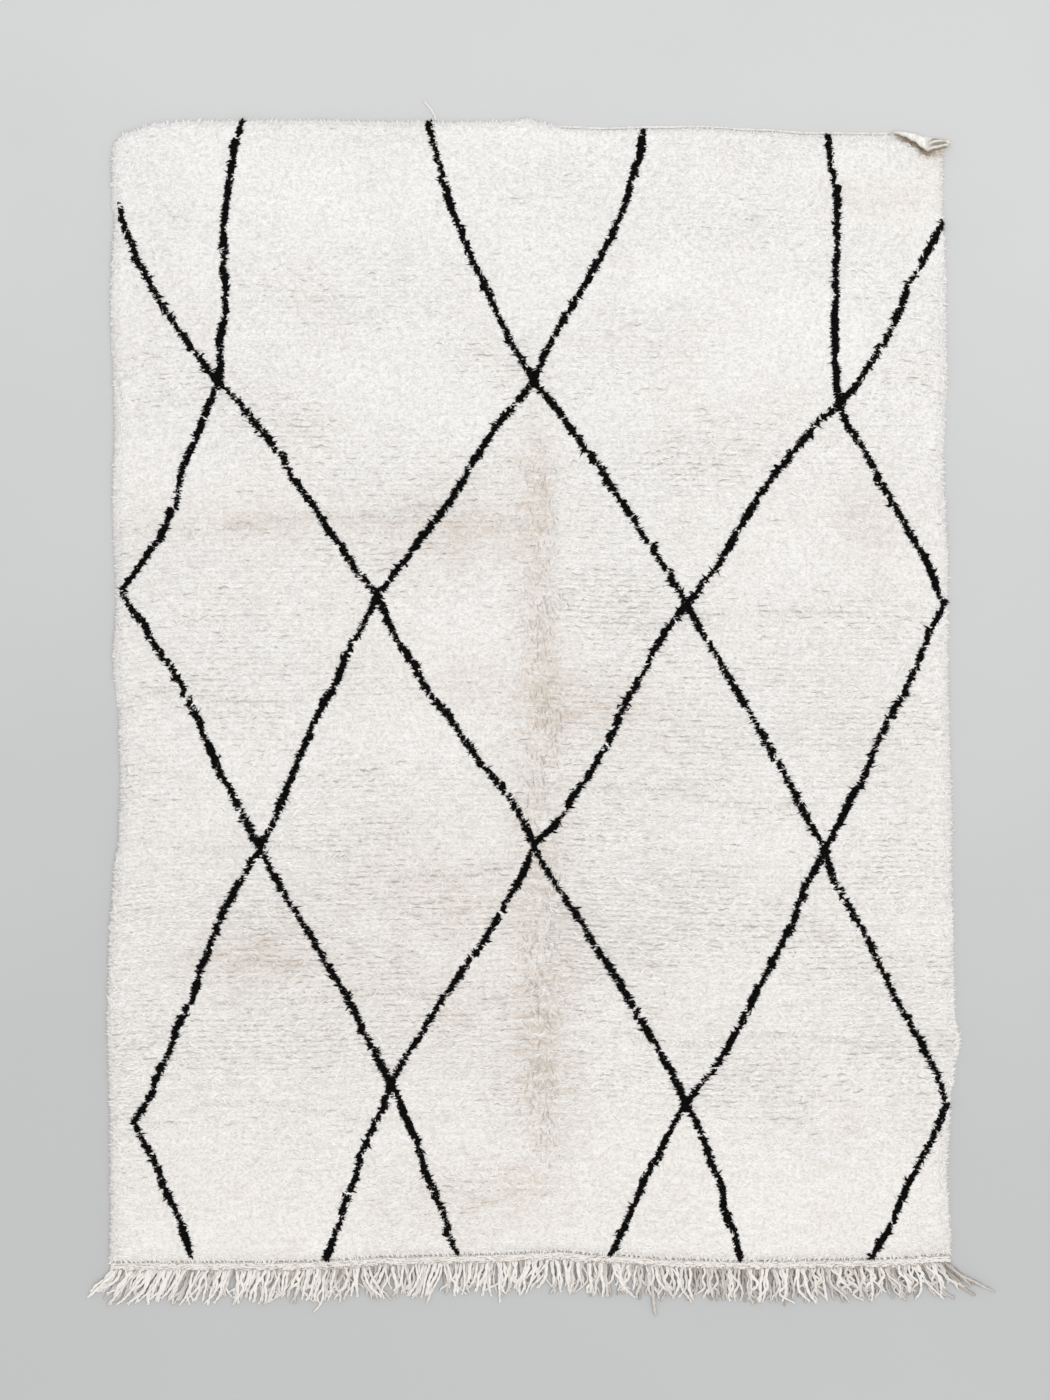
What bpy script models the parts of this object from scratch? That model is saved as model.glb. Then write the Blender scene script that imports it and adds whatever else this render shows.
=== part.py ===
"""A hand-knotted wool pile rug, lying flat, with a woven end and warp fringe at its foot.

Metres, +Z up. +Y runs along the rug, away from the fringe. The rug lies on z = 0, and the
origin is at the bottom centre of everything, fringe included.
"""

import functools
import math
import random
from typing import NamedTuple

import bmesh
import bpy
import numpy as np
from mathutils import Vector, noise
from mathutils.geometry import delaunay_2d_cdt

SEED = 7

# The cloth, without the woven ends.
PILE_WIDTH = 1.500
PILE_LENGTH = 2.036
PILE_HEIGHT = 0.0215
RIM_HEIGHT = 0.0060
RIM_REACH = 0.021
RIM_SHOULDER = 0.009
SWELL = 0.0030
SWELL_SIZE = 0.19
KNOT_SWELL = 0.0030
KNOT_SWELL_SIZE = 0.075
RIM_STEP = 0.026
FIELD_STEP_ACROSS = 0.048
FIELD_STEP_ALONG = 0.033
FIELD_JITTER = 0.008
ROUNDED_CORNER_X = -0.743
SIDE_START = 0.075
SIDE_END = 0.030
ROW_REACH = 0.710

# Locks of pile that stand out of the rim.
LOCK_SHARE = 0.70
LOCK_WIDTH = 0.016
LOCK_TIP = 0.42
LOCK_LENGTH = 0.0056
LOCK_HEIGHT = 0.0034

# The one warp end that has worked loose at the top. Its bends are (sideways, out) from its root.
LOOSE_END_X = -0.168
LOOSE_END_WIDTH = 0.0036
LOOSE_END_THICKNESS = 0.0030
LOOSE_END_BENDS = ((-0.003, 0.010), (-0.008, 0.019), (-0.015, 0.028), (-0.024, 0.037))

# The flat-woven end at the top, and the corner of it that is turned up over the pile.
GAP = 0.0003
BAND_START = 0.050
BAND_STEP = 0.0020
BAND_WIDTH = 0.0050
BAND_THICKNESS = 0.0040
BAND_ROUND = 0.0008
EAR_START = 0.641
EAR_END = 0.7425
EAR_SHEET = 0.0030
EAR_CLEARANCE = 0.0020
EAR_REST = 0.0125
EAR_MARGIN = 0.006
EAR_BLEND = 0.028
EAR_RISE = 0.012
EAR_SHOULDER = 0.35
EAR_STATIONS = 15
EAR_BED_ROWS = 6
EAR_BED_SHORT = 0.012
EAR_CUTS = 8
PLEAT_START = 0.700
PLEAT_HEIGHT = 0.0030
PLEAT_WIDTH = 0.17
PLEAT_PLACES = (0.22, 0.66)

# The flat-woven end at the foot, and the warp ends that hang out of it.
STRIP_WIDTH = 0.0160
STRIP_THICKNESS = 0.0042
STRAND_COUNT = 150
STRAND_FILL = 0.56
STRAND_LENGTH = 0.049
STRAND_SPREAD = 0.012
STRAND_THICKNESS = 0.0034
STRAND_TIP = 0.62
STRAND_BENDS = (0.30, 0.66, 1.00)
LONG_STRANDS = {0: 0.046, 1: 0.050, 38: 0.078, 57: 0.070, 97: 0.088, 148: 0.040, 149: 0.032}


class EdgeRow(NamedTuple):
    """One place on an edge: how far along it, and how far it stands out of the plain oblong."""

    along: float
    out: float


class LeanRow(NamedTuple):
    """How far a strand drifts to +X for each metre that it runs down."""

    across: float
    lean: float


class Crease(NamedTuple):
    """A soft trough in the pile, from one end to the other, bowed sideways in its middle."""

    start: tuple
    end: tuple
    bow: float
    depth: float
    width: float


# Along: metres down from the top edge.
LEFT_EDGE = (
    EdgeRow(along=0.046, out=-0.0030),
    EdgeRow(along=0.093, out=0.0010),
    EdgeRow(along=0.155, out=-0.0065),
    EdgeRow(along=0.268, out=0.0008),
    EdgeRow(along=0.357, out=0.0010),
    EdgeRow(along=0.411, out=-0.0035),
    EdgeRow(along=0.554, out=-0.0060),
    EdgeRow(along=0.661, out=-0.0022),
    EdgeRow(along=0.857, out=-0.0088),
    EdgeRow(along=0.947, out=-0.0030),
    EdgeRow(along=1.075, out=-0.0145),
    EdgeRow(along=1.197, out=-0.0165),
    EdgeRow(along=1.268, out=-0.0135),
    EdgeRow(along=1.348, out=-0.0040),
    EdgeRow(along=1.447, out=0.0035),
    EdgeRow(along=1.607, out=0.0070),
    EdgeRow(along=1.804, out=0.0018),
    EdgeRow(along=1.960, out=0.0012),
    EdgeRow(along=2.036, out=0.0025),
)
RIGHT_EDGE = (
    EdgeRow(along=0.046, out=-0.0107),
    EdgeRow(along=0.161, out=-0.0105),
    EdgeRow(along=0.225, out=-0.0055),
    EdgeRow(along=0.375, out=-0.0045),
    EdgeRow(along=0.446, out=-0.0020),
    EdgeRow(along=0.520, out=-0.0070),
    EdgeRow(along=0.610, out=-0.0095),
    EdgeRow(along=0.768, out=-0.0015),
    EdgeRow(along=0.947, out=-0.0020),
    EdgeRow(along=1.090, out=0.0015),
    EdgeRow(along=1.232, out=0.0055),
    EdgeRow(along=1.357, out=0.0045),
    EdgeRow(along=1.482, out=0.0085),
    EdgeRow(along=1.580, out=0.0100),
    EdgeRow(along=1.652, out=0.0205),
    EdgeRow(along=1.702, out=0.0085),
    EdgeRow(along=1.750, out=0.0030),
    EdgeRow(along=1.880, out=-0.0030),
    EdgeRow(along=1.972, out=0.0005),
    EdgeRow(along=2.000, out=0.0050),
    EdgeRow(along=2.036, out=0.0015),
)
# Along: metres to the right of the middle.
TOP_EDGE = (
    EdgeRow(along=-0.7500, out=-0.0560),
    EdgeRow(along=-0.7430, out=-0.0340),
    EdgeRow(along=-0.7180, out=-0.0190),
    EdgeRow(along=-0.6700, out=-0.0040),
    EdgeRow(along=-0.6040, out=0.0006),
    EdgeRow(along=-0.4290, out=0.0018),
    EdgeRow(along=-0.1790, out=-0.0010),
    EdgeRow(along=-0.0340, out=-0.0005),
    EdgeRow(along=-0.0070, out=0.0050),
    EdgeRow(along=0.0230, out=-0.0030),
    EdgeRow(along=0.0540, out=-0.0090),
    EdgeRow(along=0.1250, out=-0.0120),
    EdgeRow(along=0.2140, out=-0.0098),
    EdgeRow(along=0.3040, out=-0.0089),
    EdgeRow(along=0.4110, out=-0.0145),
    EdgeRow(along=0.5000, out=-0.0200),
    EdgeRow(along=0.6340, out=-0.0213),
    EdgeRow(along=0.6800, out=-0.0213),
    EdgeRow(along=0.7160, out=-0.0290),
    EdgeRow(along=0.7450, out=-0.0370),
)
FOOT_EDGE = (
    EdgeRow(along=-0.7540, out=0.0045),
    EdgeRow(along=-0.4290, out=0.0040),
    EdgeRow(along=-0.3480, out=0.0005),
    EdgeRow(along=-0.2660, out=-0.0050),
    EdgeRow(along=-0.1040, out=-0.0090),
    EdgeRow(along=0.0610, out=-0.0150),
    EdgeRow(along=0.1020, out=-0.0100),
    EdgeRow(along=0.2860, out=0.0000),
    EdgeRow(along=0.3750, out=0.0025),
    EdgeRow(along=0.6070, out=-0.0010),
    EdgeRow(along=0.7540, out=-0.0085),
)
# Where the turned-up corner ends on the pile, as metres below the top of the oblong.
EAR_FOLD = (
    EdgeRow(along=0.641, out=-0.0263),
    EdgeRow(along=0.652, out=-0.0263),
    EdgeRow(along=0.667, out=-0.0315),
    EdgeRow(along=0.684, out=-0.0400),
    EdgeRow(along=0.700, out=-0.0520),
    EdgeRow(along=0.709, out=-0.0590),
    EdgeRow(along=0.722, out=-0.0560),
    EdgeRow(along=0.7425, out=-0.0510),
)
FRINGE_LEAN = (
    LeanRow(across=-0.752, lean=-1.08),
    LeanRow(across=-0.715, lean=-0.66),
    LeanRow(across=-0.560, lean=-0.34),
    LeanRow(across=-0.250, lean=-0.20),
    LeanRow(across=0.050, lean=-0.05),
    LeanRow(across=0.400, lean=0.10),
    LeanRow(across=0.660, lean=0.24),
    LeanRow(across=0.715, lean=0.60),
    LeanRow(across=0.752, lean=1.55),
)
CREASES = (
    Crease(start=(0.012, 0.395), end=(0.030, -0.075), bow=0.010, depth=0.0045, width=0.020),
    Crease(start=(0.024, -0.075), end=(0.010, -0.480), bow=-0.014, depth=0.0028, width=0.022),
    Crease(start=(0.010, -0.480), end=(0.034, -0.835), bow=0.012, depth=0.0042, width=0.020),
    Crease(start=(-0.710, 0.292), end=(-0.232, 0.300), bow=-0.012, depth=0.0036, width=0.014),
    Crease(start=(-0.205, 0.325), end=(-0.020, 0.292), bow=0.006, depth=0.0034, width=0.014),
    Crease(start=(-0.735, -0.012), end=(-0.410, -0.020), bow=0.008, depth=0.0038, width=0.014),
    Crease(start=(-0.700, -0.268), end=(-0.330, -0.300), bow=-0.010, depth=0.0032, width=0.015),
    Crease(start=(-0.250, -0.345), end=(-0.040, -0.318), bow=0.006, depth=0.0030, width=0.014),
    Crease(start=(-0.625, -0.478), end=(-0.357, -0.490), bow=0.008, depth=0.0040, width=0.015),
    Crease(start=(-0.560, -0.560), end=(-0.190, -0.545), bow=-0.010, depth=0.0030, width=0.014),
    Crease(start=(0.110, -0.180), end=(0.520, -0.205), bow=0.010, depth=0.0026, width=0.014),
    Crease(start=(0.150, -0.610), end=(0.640, -0.640), bow=-0.012, depth=0.0030, width=0.015),
    Crease(start=(-0.600, -0.745), end=(-0.150, -0.765), bow=0.010, depth=0.0026, width=0.014),
    Crease(start=(0.130, 0.120), end=(0.560, 0.140), bow=-0.008, depth=0.0022, width=0.014),
)

CREAM = (0.820, 0.795, 0.750)
WOVEN = (0.760, 0.725, 0.660)
YARN = (0.800, 0.765, 0.700)
WOOL_ROUGHNESS = 0.95


def clear_scene():
    """Remove every object of the open file."""
    for old in list(bpy.data.objects):
        bpy.data.objects.remove(old, do_unlink=True)


def wool(name, colour):
    """Make a matt wool material."""
    material = bpy.data.materials.new(name)
    material.use_nodes = True
    shader = material.node_tree.nodes["Principled BSDF"]
    shader.inputs["Base Color"].default_value = (*colour, 1.0)
    shader.inputs["Roughness"].default_value = WOOL_ROUGHNESS
    shader.inputs["Metallic"].default_value = 0.0
    return material


def add_object(name, bm, material, frame):
    """Turn a bmesh into a named object under the rug's frame."""
    bmesh.ops.recalc_face_normals(bm, faces=bm.faces)
    mesh = bpy.data.meshes.new(name)
    bm.to_mesh(mesh)
    bm.free()
    mesh.materials.append(material)
    mesh.shade_smooth()
    mesh.set_sharp_from_angle(angle=math.radians(50))
    thing = bpy.data.objects.new(name, mesh)
    bpy.context.collection.objects.link(thing)
    thing.parent = frame
    return thing


def eased_share(share):
    """An eased step from 0 to 1."""
    held = min(max(share, 0.0), 1.0)
    return held * held * (3.0 - 2.0 * held)


def smooth_read(rows, place):
    """Read a table of EdgeRow or LeanRow at a place, with eased steps between its rows."""
    places = [row[0] for row in rows]
    values = [row[1] for row in rows]
    last = len(rows) - 1
    at = min(max(int(np.searchsorted(places, place)) - 1, 0), last - 1)
    share = (place - places[at]) / (places[at + 1] - places[at])
    return values[at] + (values[at + 1] - values[at]) * eased_share(share)


def left_edge(y):
    """X of the cloth's left edge at a height on the rug."""
    return -PILE_WIDTH / 2 - smooth_read(LEFT_EDGE, PILE_LENGTH / 2 - y)


def right_edge(y):
    """X of the cloth's right edge at a height on the rug."""
    return PILE_WIDTH / 2 + smooth_read(RIGHT_EDGE, PILE_LENGTH / 2 - y)


def top_line(x):
    """Y of the rug's outer edge at the top, the woven band included."""
    return PILE_LENGTH / 2 + smooth_read(TOP_EDGE, x)


@functools.cache
def foot_run():
    """The rim's own points along the foot, as their places across and their heights."""
    places = rim_places(-PILE_WIDTH / 2, PILE_WIDTH / 2)
    return places, [-PILE_LENGTH / 2 - smooth_read(FOOT_EDGE, place) for place in places]


def foot_line(x):
    """Y of the pile's edge at the foot, as straight runs between the rim's own points."""
    return float(np.interp(x, *foot_run()))


def rim_places(start, end):
    """Even places along one side of the rim, its two ends included."""
    count = round(abs(end - start) / RIM_STEP) + 1
    return [float(place) for place in np.linspace(start, end, count)]


def band_places():
    """Places across the rug at which the top band and the pile beside it have points."""
    plain = np.linspace(BAND_START, EAR_START, round((EAR_START - BAND_START) / RIM_STEP) + 1)
    ear = np.linspace(EAR_START, EAR_END, EAR_STATIONS)
    return [float(place) for place in plain] + [float(place) for place in ear[1:]]


def crease_points(crease):
    """Points along the middle of a crease, a step of the field apart."""
    start = Vector(crease.start)
    end = Vector(crease.end)
    side = (end - start).normalized().orthogonal()
    count = max(round((end - start).length / FIELD_STEP_ACROSS), 2)
    points = []
    for number in range(count + 1):
        share = number / count
        bow = crease.bow * math.sin(2.0 * math.pi * share) + 0.4 * crease.bow * math.sin(9.0 * share)
        points.append(start.lerp(end, share) + side * bow)
    return points


def crease_depth(x, y, lines):
    """How deep the creases press the pile at a point."""
    deepest = 0.0
    here = Vector((x, y))
    for crease, points in lines:
        reach = 2.0 * crease.width
        nearest = min((here - point).length for point in points)
        if nearest > FIELD_STEP_ACROSS + reach:
            continue
        for first, second in zip(points, points[1:]):
            run = second - first
            share = min(max((here - first).dot(run) / run.length_squared, 0.0), 1.0)
            away = (here - first.lerp(second, share)).length
            if away < reach:
                deepest = max(deepest, crease.depth * (0.5 + 0.5 * math.cos(math.pi * away / reach)))
    return deepest


def rim_distance(x, y):
    """Rough distance from a point on the cloth to its rim."""
    return min(x - left_edge(y), right_edge(y) - x, top_line(x) - y, y - foot_line(x))


def pile_top(x, y, lines):
    """Height of the pile at a point of the cloth."""
    share = min(max(rim_distance(x, y) / RIM_REACH, 0.0), 1.0)
    rise = math.sin(0.5 * math.pi * share)
    swell = SWELL * noise.noise(Vector((x, y, 0.0)) / SWELL_SIZE)
    swell += KNOT_SWELL * noise.noise(Vector((x, y, 3.0)) / KNOT_SWELL_SIZE)
    full = PILE_HEIGHT + swell - crease_depth(x, y, lines)
    height = RIM_HEIGHT + (full - RIM_HEIGHT) * rise
    return min(height, ear_limit(x, y))


def ear_limit(x, y):
    """The pile is pressed down under the turned-up corner, and rises again around it."""
    fold = PILE_LENGTH / 2 + smooth_read(EAR_FOLD, x)
    away = max(EAR_START - x, fold - y) - EAR_MARGIN
    return EAR_REST + PILE_HEIGHT * min(max(away / EAR_BLEND, 0.0), 1.0)


def lock(start, end, chance):
    """Four points of a lock that stands out between two points of the rim, run clockwise."""
    along = (end - start).normalized()
    outward = Vector((-along.y, along.x))
    middle = start.lerp(end, chance.uniform(0.36, 0.64))
    half = along * LOCK_WIDTH * chance.uniform(0.36, 0.50)
    reach = outward * LOCK_LENGTH * chance.uniform(0.45, 1.30)
    tip = middle + reach + along * chance.uniform(-0.30, 0.30) * LOCK_WIDTH
    slope = reach * chance.uniform(-0.25, 0.25)
    return [middle - half, tip - half * LOCK_TIP + slope, tip + half * LOCK_TIP - slope, middle + half]


def with_locks(side, chance):
    """Add locks between the points of one side of the rim. Returns points and lock tips."""
    points = []
    tips = []
    for start, end in zip(side, side[1:]):
        points.append(start)
        beside_loose_end = start.x < LOOSE_END_X < end.x
        if chance.random() < LOCK_SHARE and not beside_loose_end:
            added = lock(start, end, chance)
            points += added
            tips += added[1:3]
    points.append(side[-1])
    return points, tips


def rim_sides():
    """The sides of the pile's rim, run clockwise from the top-left corner.

    The top is in two stretches: the free one, and the one that lies beside the woven band.
    """
    half = PILE_WIDTH / 2
    low_y = SIDE_END - PILE_LENGTH / 2
    bare = rim_places(ROUNDED_CORNER_X, BAND_START - BAND_STEP)
    top = [Vector((x, top_line(x))) for x in bare]
    beside = [Vector((x, top_line(x) - BAND_WIDTH - GAP)) for x in band_places()[:-2]]
    right_top = beside[-1].y - BAND_WIDTH
    right = [Vector((right_edge(y), y)) for y in rim_places(right_top, low_y)]
    foot = [Vector((x, foot_line(x))) for x in rim_places(half, -half)]
    left = [Vector((left_edge(y), y)) for y in rim_places(low_y, top_line(-half))]
    return top, beside, right, foot, left


def rim_outline(chance):
    """The pile's outline with its locks, and the places of the lock tips."""
    top, beside, right, foot, left = rim_sides()
    top_points, top_tips = with_locks(top, chance)
    right_points, right_tips = with_locks(right, chance)
    left_points, left_tips = with_locks(left, chance)
    outline = top_points + beside + right_points + foot + left_points
    return outline, top_tips + right_tips + left_tips


def rim_rows():
    """Two rows of points that follow the rim on its inner side."""
    points = []
    for inset in (RIM_SHOULDER, RIM_REACH):
        for y in rim_places(SIDE_END - PILE_LENGTH / 2, PILE_LENGTH / 2 - SIDE_START):
            points.append(Vector((left_edge(y) + inset, y)))
            points.append(Vector((right_edge(y) - inset, y)))
        for x in rim_places(-ROW_REACH, EAR_START - EAR_BLEND):
            points.append(Vector((x, top_line(x) - BAND_WIDTH - inset)))
        for x in rim_places(-ROW_REACH, ROW_REACH):
            points.append(Vector((x, foot_line(x) + inset)))
    return points


def ear_bed():
    """Points of the pressed pile under the turned-up corner, and of its slope round it."""
    points = []
    for place in np.linspace(EAR_START - 0.5 * EAR_MARGIN, EAR_END - EAR_BED_SHORT, EAR_BED_ROWS):
        x = float(place)
        fold = PILE_LENGTH / 2 + smooth_read(EAR_FOLD, x)
        shoulder = top_line(x) - BAND_WIDTH - RIM_SHOULDER
        bed = min(fold, shoulder) - EAR_MARGIN
        points += [Vector((x, y)) for y in (shoulder, bed, bed - EAR_BLEND)]
    return points


def near_ear(place):
    """Whether a point lies where the turned-up corner's own points are."""
    across = place.x > EAR_START - 2.0 * EAR_MARGIN
    return across and place.y > PILE_LENGTH / 2 + EAR_FOLD[-1].out - 2.0 * EAR_BLEND


def field_points(lines, chance):
    """Points of the pile's top face inside its rim."""
    points = rim_rows() + ear_bed()
    crease_line = [point for _, run in lines for point in run]
    rows = round((PILE_LENGTH - 2 * RIM_REACH) / FIELD_STEP_ALONG)
    for row in range(rows):
        y = PILE_LENGTH / 2 - RIM_REACH - (row + 0.5) * FIELD_STEP_ALONG
        columns = round(PILE_WIDTH / FIELD_STEP_ACROSS)
        for column in range(columns + 1):
            x = (column + 0.5 * (row % 2)) * FIELD_STEP_ACROSS - PILE_WIDTH / 2
            place = Vector((x + chance.uniform(-1, 1) * FIELD_JITTER,
                            y + chance.uniform(-1, 1) * FIELD_JITTER))
            if rim_distance(place.x, place.y) < 0.5 * FIELD_STEP_ALONG + RIM_REACH or near_ear(place):
                continue
            if min((place - point).length for point in crease_line) < 0.6 * FIELD_STEP_ALONG:
                continue
            points.append(place)
    return points


def build_rug(frame, chance):
    """The cloth: a slab whose top is the pile's lumpy face, with locks at its rim."""
    lines = [(crease, crease_points(crease)) for crease in CREASES]
    outline, tips = rim_outline(chance)
    inside = field_points(lines, chance)
    coords = outline + inside
    edges = []
    for _, run in lines:
        first = len(coords)
        coords = coords + run
        edges += [(first + number, first + number + 1) for number in range(len(run) - 1)]
    ring = list(range(len(outline)))
    flat, _, faces, _, _, _ = delaunay_2d_cdt(coords, edges, [ring], 1, 1e-6)
    tip_places = {(round(tip.x, 5), round(tip.y, 5)) for tip in tips}
    bm = bmesh.new()
    top = []
    for number, place in enumerate(flat):
        height = pile_top(place.x, place.y, lines)
        if number < len(outline):
            is_tip = (round(place.x, 5), round(place.y, 5)) in tip_places
            height = LOCK_HEIGHT if is_tip else min(height, RIM_HEIGHT)
        top.append(bm.verts.new((place.x, place.y, height)))
    for face in faces:
        bm.faces.new([top[number] for number in face])
    rim = [edge for edge in bm.edges if edge.is_boundary]
    wall = bmesh.ops.extrude_edge_only(bm, edges=rim)["geom"]
    for vert in (item for item in wall if isinstance(item, bmesh.types.BMVert)):
        vert.co.z = 0.0
    floor = [edge for edge in bm.edges if edge.is_boundary]
    bmesh.ops.holes_fill(bm, edges=floor, sides=0)
    add_object("rug", bm, wool("cream pile", CREAM), frame)


def strip_columns():
    """Places across the foot at which a strand's root starts or ends."""
    low = -PILE_WIDTH / 2
    pitch = PILE_WIDTH / STRAND_COUNT
    columns = []
    for number in range(STRAND_COUNT):
        middle = low + (number + 0.5) * pitch
        half = 0.5 * STRAND_FILL * pitch
        columns += [middle - half, middle + half]
    columns[0] = low
    columns[-1] = -low
    return columns


def strand_run(number, middle, chance):
    """How far down a strand runs, and how it drifts sideways, at each of its bends."""
    length = STRAND_LENGTH + chance.uniform(-1.0, 1.0) * STRAND_SPREAD
    length = LONG_STRANDS.get(number, length)
    lean = smooth_read(FRINGE_LEAN, middle)
    clump = (0.0011, 0.0, -0.0011)[number % 3]
    wave = chance.uniform(-0.0009, 0.0009)
    run = []
    for share in STRAND_BENDS:
        drift = lean * length * share ** 1.25 + (clump + wave) * share
        run.append((drift, -length * share))
    return run


def grow_strand(bm, face, run):
    """Draw one strand out of a face of the woven end, level on the floor."""
    roots = list(face.verts)
    middle = sum((vert.co for vert in roots), Vector()) / len(roots)
    places = [vert.co - middle for vert in roots]
    for (drift, down), share in zip(run, STRAND_BENDS):
        drawn = bmesh.ops.extrude_discrete_faces(bm, faces=[face])["faces"][0]
        size = 1.0 + (STRAND_TIP - 1.0) * share
        for vert, place in zip(list(drawn.verts), places):
            high = STRAND_THICKNESS * (1.0 + 0.25 * (size - 1.0)) if place.z > 0.0 else 0.0
            vert.co = Vector((middle.x + drift + place.x * size, middle.y + down + place.y * size, high))
        face = drawn


def build_fringe(frame, chance):
    """The woven end at the foot, with its warp ends lying on the floor."""
    bm = bmesh.new()
    rings = []
    for x in strip_columns():
        rear = foot_line(x) - GAP
        front = rear - STRIP_WIDTH
        places = ((rear, 0.0), (rear, STRIP_THICKNESS), (front, STRIP_THICKNESS), (front, 0.0))
        rings.append([bm.verts.new((x, y, z)) for y, z in places])
    fronts = []
    for left, right in zip(rings, rings[1:]):
        for side in range(4):
            after = (side + 1) % 4
            made = bm.faces.new((left[side], left[after], right[after], right[side]))
            if side == 2:
                fronts.append(made)
    bm.faces.new(rings[0][::-1])
    bm.faces.new(rings[-1])
    bm.normal_update()
    for number, face in enumerate(fronts[::2]):
        middle = face.calc_center_median().x
        grow_strand(bm, face, strand_run(number, middle, chance))
    add_object("fringe", bm, wool("warp yarn", YARN), frame)


def build_loose_end(frame):
    """The loose warp end at the top, level on the floor."""
    bm = bmesh.new()
    half = LOOSE_END_WIDTH / 2
    root_y = top_line(LOOSE_END_X) + GAP
    corners = ((-half, 0.0), (-half, LOOSE_END_THICKNESS), (half, LOOSE_END_THICKNESS), (half, 0.0))
    root = [bm.verts.new((LOOSE_END_X + across, root_y, z)) for across, z in corners]
    face = bm.faces.new(root)
    for number, (across, out) in enumerate(LOOSE_END_BENDS, start=1):
        face = bmesh.ops.extrude_discrete_faces(bm, faces=[face])["faces"][0]
        size = 1.0 - 0.4 * number / len(LOOSE_END_BENDS)
        for vert in face.verts:
            side = half * size if vert.co.x > face.calc_center_median().x else -half * size
            vert.co.x = LOOSE_END_X + across + side
            vert.co.y = root_y + out
    bm.faces.new(root)
    add_object("loose_end", bm, wool("loose warp yarn", YARN), frame)


def pleat(x, share):
    """Height of the pleats pressed into the turned-up corner, near its right end."""
    grown = min(max((x - PLEAT_START) / (EAR_END - PLEAT_START), 0.0), 1.0)
    height = 0.0
    for place in PLEAT_PLACES:
        away = abs(share - place) / PLEAT_WIDTH
        if away < 1.0:
            height += PLEAT_HEIGHT * (0.5 + 0.5 * math.cos(math.pi * away))
    return height * math.sqrt(grown)


def band_section(x):
    """Section of the top band at a place across the rug, as (y, z) points run round."""
    outer = top_line(x)
    inner = outer - BAND_WIDTH
    turned = eased_share((x - EAR_START) / EAR_RISE)
    fold = inner + BAND_ROUND
    if x > EAR_START:
        fold = min(fold, PILE_LENGTH / 2 + smooth_read(EAR_FOLD, x))
    under = 0.6 * BAND_THICKNESS + (EAR_REST + EAR_CLEARANCE - 0.6 * BAND_THICKNESS) * turned
    crown = BAND_THICKNESS + (EAR_REST + EAR_CLEARANCE + EAR_SHEET - BAND_THICKNESS) * turned
    section = [(inner, 0.0), (outer, 0.0)]
    for number in range(EAR_CUTS + 1):
        share = number / EAR_CUTS
        rise = math.sin(0.5 * math.pi * min(share / EAR_SHOULDER, 1.0))
        height = 0.6 * BAND_THICKNESS + (crown - 0.6 * BAND_THICKNESS) * rise
        section.append((outer + (fold - outer) * share, height + pleat(x, share)))
    section.append((fold - 0.5 * BAND_ROUND, under))
    section.append((inner, 0.9 * under))
    return section


def build_top_band(frame):
    """The flat-woven end at the top: a plain strip, then the corner turned up over the pile."""
    bm = bmesh.new()
    rings = []
    for x in band_places():
        rings.append([bm.verts.new((x, y, z)) for y, z in band_section(x)])
    for left, right in zip(rings, rings[1:]):
        for side in range(len(left)):
            after = (side + 1) % len(left)
            bm.faces.new((left[side], right[side], right[after], left[after]))
    bm.faces.new(rings[0])
    bm.faces.new(rings[-1][::-1])
    add_object("top_band", bm, wool("woven end", WOVEN), frame)


def centre_on_origin(frame):
    """Move the frame so that the origin is at the bottom centre of all the pieces."""
    corners = [vert.co for thing in frame.children for vert in thing.data.vertices]
    across = [corner.x for corner in corners]
    along = [corner.y for corner in corners]
    frame.location = (-(min(across) + max(across)) / 2, -(min(along) + max(along)) / 2, 0.0)


def main():
    """Build the rug."""
    clear_scene()
    chance = random.Random(SEED)
    frame = bpy.data.objects.new("rug_frame", None)
    bpy.context.collection.objects.link(frame)
    build_rug(frame, chance)
    build_fringe(frame, chance)
    build_top_band(frame)
    build_loose_end(frame)
    centre_on_origin(frame)


main()
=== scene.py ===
"""The dressed wool pile rug: knots on a ground weave, two flat-woven ends and a warp fringe.

Metres, +Z up, +Y along the rug away from the fringe. The rug's own places are worked out from
its middle, and one shift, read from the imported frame, takes them to the frame's origin.
"""

import logging
import math
from dataclasses import dataclass, field
from enum import Enum
from typing import NamedTuple

import bmesh
import bpy
import numpy as np
from mathutils import Matrix, Vector, noise


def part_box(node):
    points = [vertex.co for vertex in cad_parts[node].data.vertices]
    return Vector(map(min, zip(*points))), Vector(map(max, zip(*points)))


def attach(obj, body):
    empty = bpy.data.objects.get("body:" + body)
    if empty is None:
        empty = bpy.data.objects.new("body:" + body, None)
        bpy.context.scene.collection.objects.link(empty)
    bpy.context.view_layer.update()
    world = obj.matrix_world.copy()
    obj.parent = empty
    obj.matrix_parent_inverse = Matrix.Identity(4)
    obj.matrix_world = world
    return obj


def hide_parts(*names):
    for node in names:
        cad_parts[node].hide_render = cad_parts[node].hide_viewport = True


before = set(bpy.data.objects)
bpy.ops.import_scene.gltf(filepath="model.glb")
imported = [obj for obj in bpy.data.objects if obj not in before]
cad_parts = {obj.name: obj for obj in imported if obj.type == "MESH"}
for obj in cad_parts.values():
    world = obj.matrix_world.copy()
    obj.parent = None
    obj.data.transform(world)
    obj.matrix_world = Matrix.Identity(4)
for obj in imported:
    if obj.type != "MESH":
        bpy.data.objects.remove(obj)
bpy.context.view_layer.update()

LOG = logging.getLogger("rug")
SEED = 11
MILLIMETRE = 0.001
FAR = 9.0

# The rim of a UV cell, as a share of it, keeps a copy's baked colours off its neighbours'.
CELL_RIM = 0.06

# The photograph's frame, and the place on the rug that its middle looks at.
IMAGE_HEIGHT = 1400
METRES_PER_PIXEL = 1.786 * MILLIMETRE
VIEW_CENTRE = (-0.0089, -0.0179)
VIEW_PLANE = 0.006
CAMERA_DISTANCE = 5.0

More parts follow.
